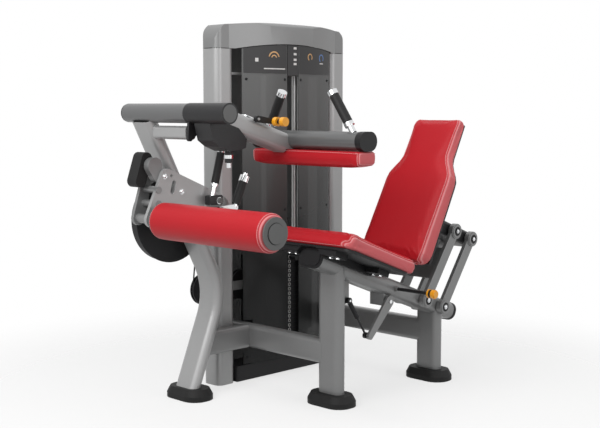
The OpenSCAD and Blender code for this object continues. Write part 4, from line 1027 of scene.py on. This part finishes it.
class LEGMACHINE_OT_tower_fittings(LegMachineOperator, bpy.types.Operator):
    """Plain marks on the placards, screws on the shields and black bands of painted shade in the joint under
    the cap
    """

    bl_idname = "leg_machine.tower_fittings"
    bl_label = "Tower fittings"

    screw_places = [(u, z) for u in (-256, -50, 50, 256) for z in (108, 760, 1340)]
    screw = {"radius": 5, "height": 4}
    shade_band_size = (POST_W + 0.5, POST_D + 0.5, 3.0)

    # Arcs as place, radii, start and sweep in degrees, and bars as their sides
    sand_arcs = [(-112, 1432, 25, 31, 15, 150), (-112, 1432, 11, 16, 15, 150), (115, 1443, 12, 17, -40, 280)]
    blue_arcs = [(204, 1441, 13, 19, -40, 280)]
    white_bars = [(-167, -50, 1384, 1389), (-212, -196, 1416, 1432), (190, 218, 1414, 1419)]
    strip_bars = [(4, 22, z - 5, z + 5) for z in (1410, 1429, 1454, 1480)]
    marks = [
        ("placard_sand_marks", "Sand print", PLACARD_R, print_arc, sand_arcs),
        ("placard_blue_marks", "Blue print", PLACARD_R, print_arc, blue_arcs),
        ("placard_white_marks", "White print", PLACARD_R, print_bar, white_bars),
        ("slot_strip_marks", "White print", BOW_R, print_bar, strip_bars),
    ]

    def execute(self, context):
        for name, ink, radius, add_shape, shapes in self.marks:
            bm = bmesh.new()
            for shape in shapes:
                add_shape(bm, *shape)
            finish_print(bm, name, ink, radius)
        screws = bmesh.new()
        for u, z in self.screw_places:
            angle = u / BOW_R
            outward = (math.sin(angle), -math.cos(angle), 0)
            button_head(screws, bow_point(u, 0.1, z, BOW_R), outward, **self.screw)
        finish_piece(screws, "shield_screws", "base", "Black moulding", "black_plastic")
        # Thin black bands round the posts under the cap: painted shade for the shadow line of the joint
        shade_bands = bmesh.new()
        for s in (-1, 1):
            rounded_block(shade_bands, at(TOWER_X + s * POST_DX, TOWER_Y, POST_H), self.shade_band_size, POST_R,
                          upright_only=True)
        finish_piece(shade_bands, "cap_shade_bands", "base", "Foot rubber", "rubber")
        return {"FINISHED"}


class LEGMACHINE_OT_link_fittings(LegMachineOperator, bpy.types.Operator):
    """Painted bushes, dark washers and bolts on the ends of the parallel links"""

    bl_idname = "leg_machine.link_fittings"
    bl_label = "Link fittings"

    bush = {"inner": 20.5, "outer": 29.0, "height": 3.0}
    washer = {"inner": 10.4, "outer": 20.2, "height": 1.4}
    bolt = {"radius": 7, "height": 5}

    def execute(self, context):
        for name, x in (("front", FRONT_PIVOT_X), ("rear", REAR_PIVOT_X)):
            foot = (x, rail_z(x))
            top = (foot[0] + LINK_LENGTH * math.sin(LINK_LEAN), foot[1] + LINK_LENGTH * math.cos(LINK_LEAN))
            ends = [(at(x, s * LINK_FACE, z), (0, s, 0)) for x, z in (foot, top) for s in (-1, 1)]
            body = name + "_link_pair"
            # The bushes wear the darker copy of the frame paint, which is painted shade
            ring_piece([(*end, self.bush) for end in ends], name + "_link_bushes", body, "Shaded grey paint",
                       "grey_frame")
            ring_piece([(*end, self.washer) for end in ends], name + "_link_washers", body, "Black moulding",
                       "black_plastic")
            for place, (x, z), body in (("foot", foot, "base"), ("top", top, "back")):
                bolts = bmesh.new()
                for s in (-1, 1):
                    button_head(bolts, at(x, s * PIN_END, z), (0, s, 0), **self.bolt)
                finish_piece(bolts, name + "_link_" + place + "_bolts", body, "Chrome", "chrome")
        return {"FINISHED"}


class LEGMACHINE_OT_release_fittings(LegMachineOperator, bpy.types.Operator):
    """Black sleeve on the release rod and black band round its knob"""

    bl_idname = "leg_machine.release_fittings"
    bl_label = "Release fittings"

    sleeve_start = -64
    sleeve = {"inner": 5.9, "outer": 7.6, "height": sleeve_start - KNOB_Y - 12.5}
    band_start = KNOB_Y + 3.8
    band = {"inner": 14.9, "outer": 17.4, "height": 11.6}

    def execute(self, context):
        covers = ((self.sleeve_start, self.sleeve), (self.band_start, self.band))
        rings = [(at(RELEASE_X, y, rail_z(RELEASE_X)), TO_FRONT, size) for y, size in covers]
        ring_piece(rings, "release_sleeve", "release_rod", "Black moulding", "black_plastic")
        return {"FINISHED"}


class LEGMACHINE_OT_arm_fittings(LegMachineOperator, bpy.types.Operator):
    """Clamp, bolts and hub cap on the exercise arm, and a black ring of painted shade for the groove of the
    roller's disc
    """

    bl_idname = "leg_machine.arm_fittings"
    bl_label = "Arm fittings"

    clamp_centre = (-312, 370, 840)
    clamp_size = (70, 38, 40)
    arm_bolts = [(-540, 400, 945), (-455, 400, 880), (-400, 400, 742)]
    arm_bolt = {"radius": 9, "height": 7}
    hub_face = (-280, 336, 780)
    hub_bolt = {"radius": 12, "height": 8}
    clamp_edge = 6
    knob_offset = Vector((16, -19, -2))
    knob = {"inner": 0.4, "outer": 12, "height": 10}
    groove_y = ROLLER_Y[0] - 7
    groove = {"inner": 37.1, "outer": 39.6, "height": 0.7}

    def execute(self, context):
        clamp = bmesh.new()
        rounded_block(clamp, at(*self.clamp_centre), self.clamp_size, self.clamp_edge)
        finish_piece(clamp, "handle_clamp", "exercise_arm", "Black casting", "black_metal")
        knob_centre = at(*(Vector(self.clamp_centre) + self.knob_offset))
        ring_piece([(knob_centre, TO_FRONT, self.knob)], "clamp_knob", "exercise_arm", "Grey moulding",
                   "grey_cap")
        bolts = bmesh.new()
        for place in self.arm_bolts:
            button_head(bolts, at(*place), TO_FRONT, **self.arm_bolt)
        button_head(bolts, at(*self.hub_face), TO_FRONT, **self.hub_bolt)
        finish_piece(bolts, "arm_bolts", "exercise_arm", "Chrome", "chrome")
        # A black ring on the roller's disc: painted shade standing in for its groove
        groove_centre = at(ROLLER[0], self.groove_y, ROLLER[1])
        ring_piece([(groove_centre, TO_FRONT, self.groove)], "roller_disc_groove_shade", "roller", "Black moulding",
                   "black_plastic")
        return {"FINISHED"}


class LEGMACHINE_OT_thigh_fittings(LegMachineOperator, bpy.types.Operator):
    """Wear strip on the thigh arm, plunger rings and the disc in the sleeve's end"""

    bl_idname = "leg_machine.thigh_fittings"
    bl_label = "Thigh fittings"

    strip_x = -352
    strip_y = 132
    strip_size = (74, 40, 14)
    arm_half = 39
    strip_edge = 1.5
    plunger = (-440, 132)
    plunger_rings = [(1022, {"inner": 14.8, "outer": 17.5, "height": 14}),
                     (986, {"inner": 6.9, "outer": 9.0, "height": 19})]
    sleeve_end = -13
    disc = {"inner": 0.4, "outer": 33, "height": 1.5}

    def execute(self, context):
        slope = math.radians(THIGH_SLOPE)
        drop = (self.strip_x - THIGH_BAR[0]) * math.tan(slope)
        lift = self.arm_half + self.strip_size[2] / 2
        strip = bmesh.new()
        place = at(self.strip_x + lift * math.sin(slope), self.strip_y,
                   THIGH_BAR[1] - drop + lift * math.cos(slope))
        rounded_block(strip, place, self.strip_size, self.strip_edge, Matrix.Rotation(slope, 4, "Y"))
        finish_piece(strip, "arm_wear_strip", "thigh_hold", "Chrome", "chrome")
        rings = [(at(*self.plunger, z), (0, 0, 1), size) for z, size in self.plunger_rings]
        ring_piece(rings, "plunger_rings", "thigh_hold", "Chrome", "chrome")
        disc_centre = at(THIGH_BAR[0], self.sleeve_end, THIGH_BAR[1])
        ring_piece([(disc_centre, TO_FRONT, self.disc)], "sleeve_end_disc", "thigh_hold", "Grey moulding",
                   "grey_cap")
        return {"FINISHED"}


SETTINGS = {"leg_finish": LegMachineFinish, "leg_cushion": LegMachineCushion, "leg_stage": LegMachineStage}

# The operators in the order that the machine is dressed
OPERATORS = (
    LEGMACHINE_OT_stage,
    LEGMACHINE_OT_finishes,
    LEGMACHINE_OT_seat_cushion,
    LEGMACHINE_OT_back_cushion,
    LEGMACHINE_OT_thigh_cushion,
    LEGMACHINE_OT_roller_cushion,
    LEGMACHINE_OT_plate_rings,
    LEGMACHINE_OT_tower_fittings,
    LEGMACHINE_OT_link_fittings,
    LEGMACHINE_OT_release_fittings,
    LEGMACHINE_OT_arm_fittings,
    LEGMACHINE_OT_thigh_fittings,
)


class LEGMACHINE_PT_panel(bpy.types.Panel):
    """Lists the dressing steps in order"""

    bl_idname = "LEGMACHINE_PT_panel"
    bl_label = "Leg Machine"
    bl_space_type = "VIEW_3D"
    bl_region_type = "UI"
    bl_category = "Leg Machine"

    def draw(self, context):
        for group in SETTINGS:
            settings = getattr(context.scene, group)
            for key in settings.__annotations__:
                self.layout.prop(settings, key)
        for cls in OPERATORS:
            self.layout.operator(cls.bl_idname)


CLASSES = (*SETTINGS.values(), *OPERATORS, LEGMACHINE_PT_panel)


def register():
    """Adds the classes and the scene's settings"""
    for cls in CLASSES:
        bpy.utils.register_class(cls)
    for name, group in SETTINGS.items():
        setattr(bpy.types.Scene, name, bpy.props.PointerProperty(type=group))


def unregister():
    """Takes away what register added"""
    for name in SETTINGS:
        delattr(bpy.types.Scene, name)
    for cls in reversed(CLASSES):
        bpy.utils.unregister_class(cls)


def main():
    """Dresses the whole machine"""
    register()
    for cls in OPERATORS:
        category, name = cls.bl_idname.split(".")
        getattr(getattr(bpy.ops, category), name)()
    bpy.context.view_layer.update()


if __name__ == "__main__":
    main()
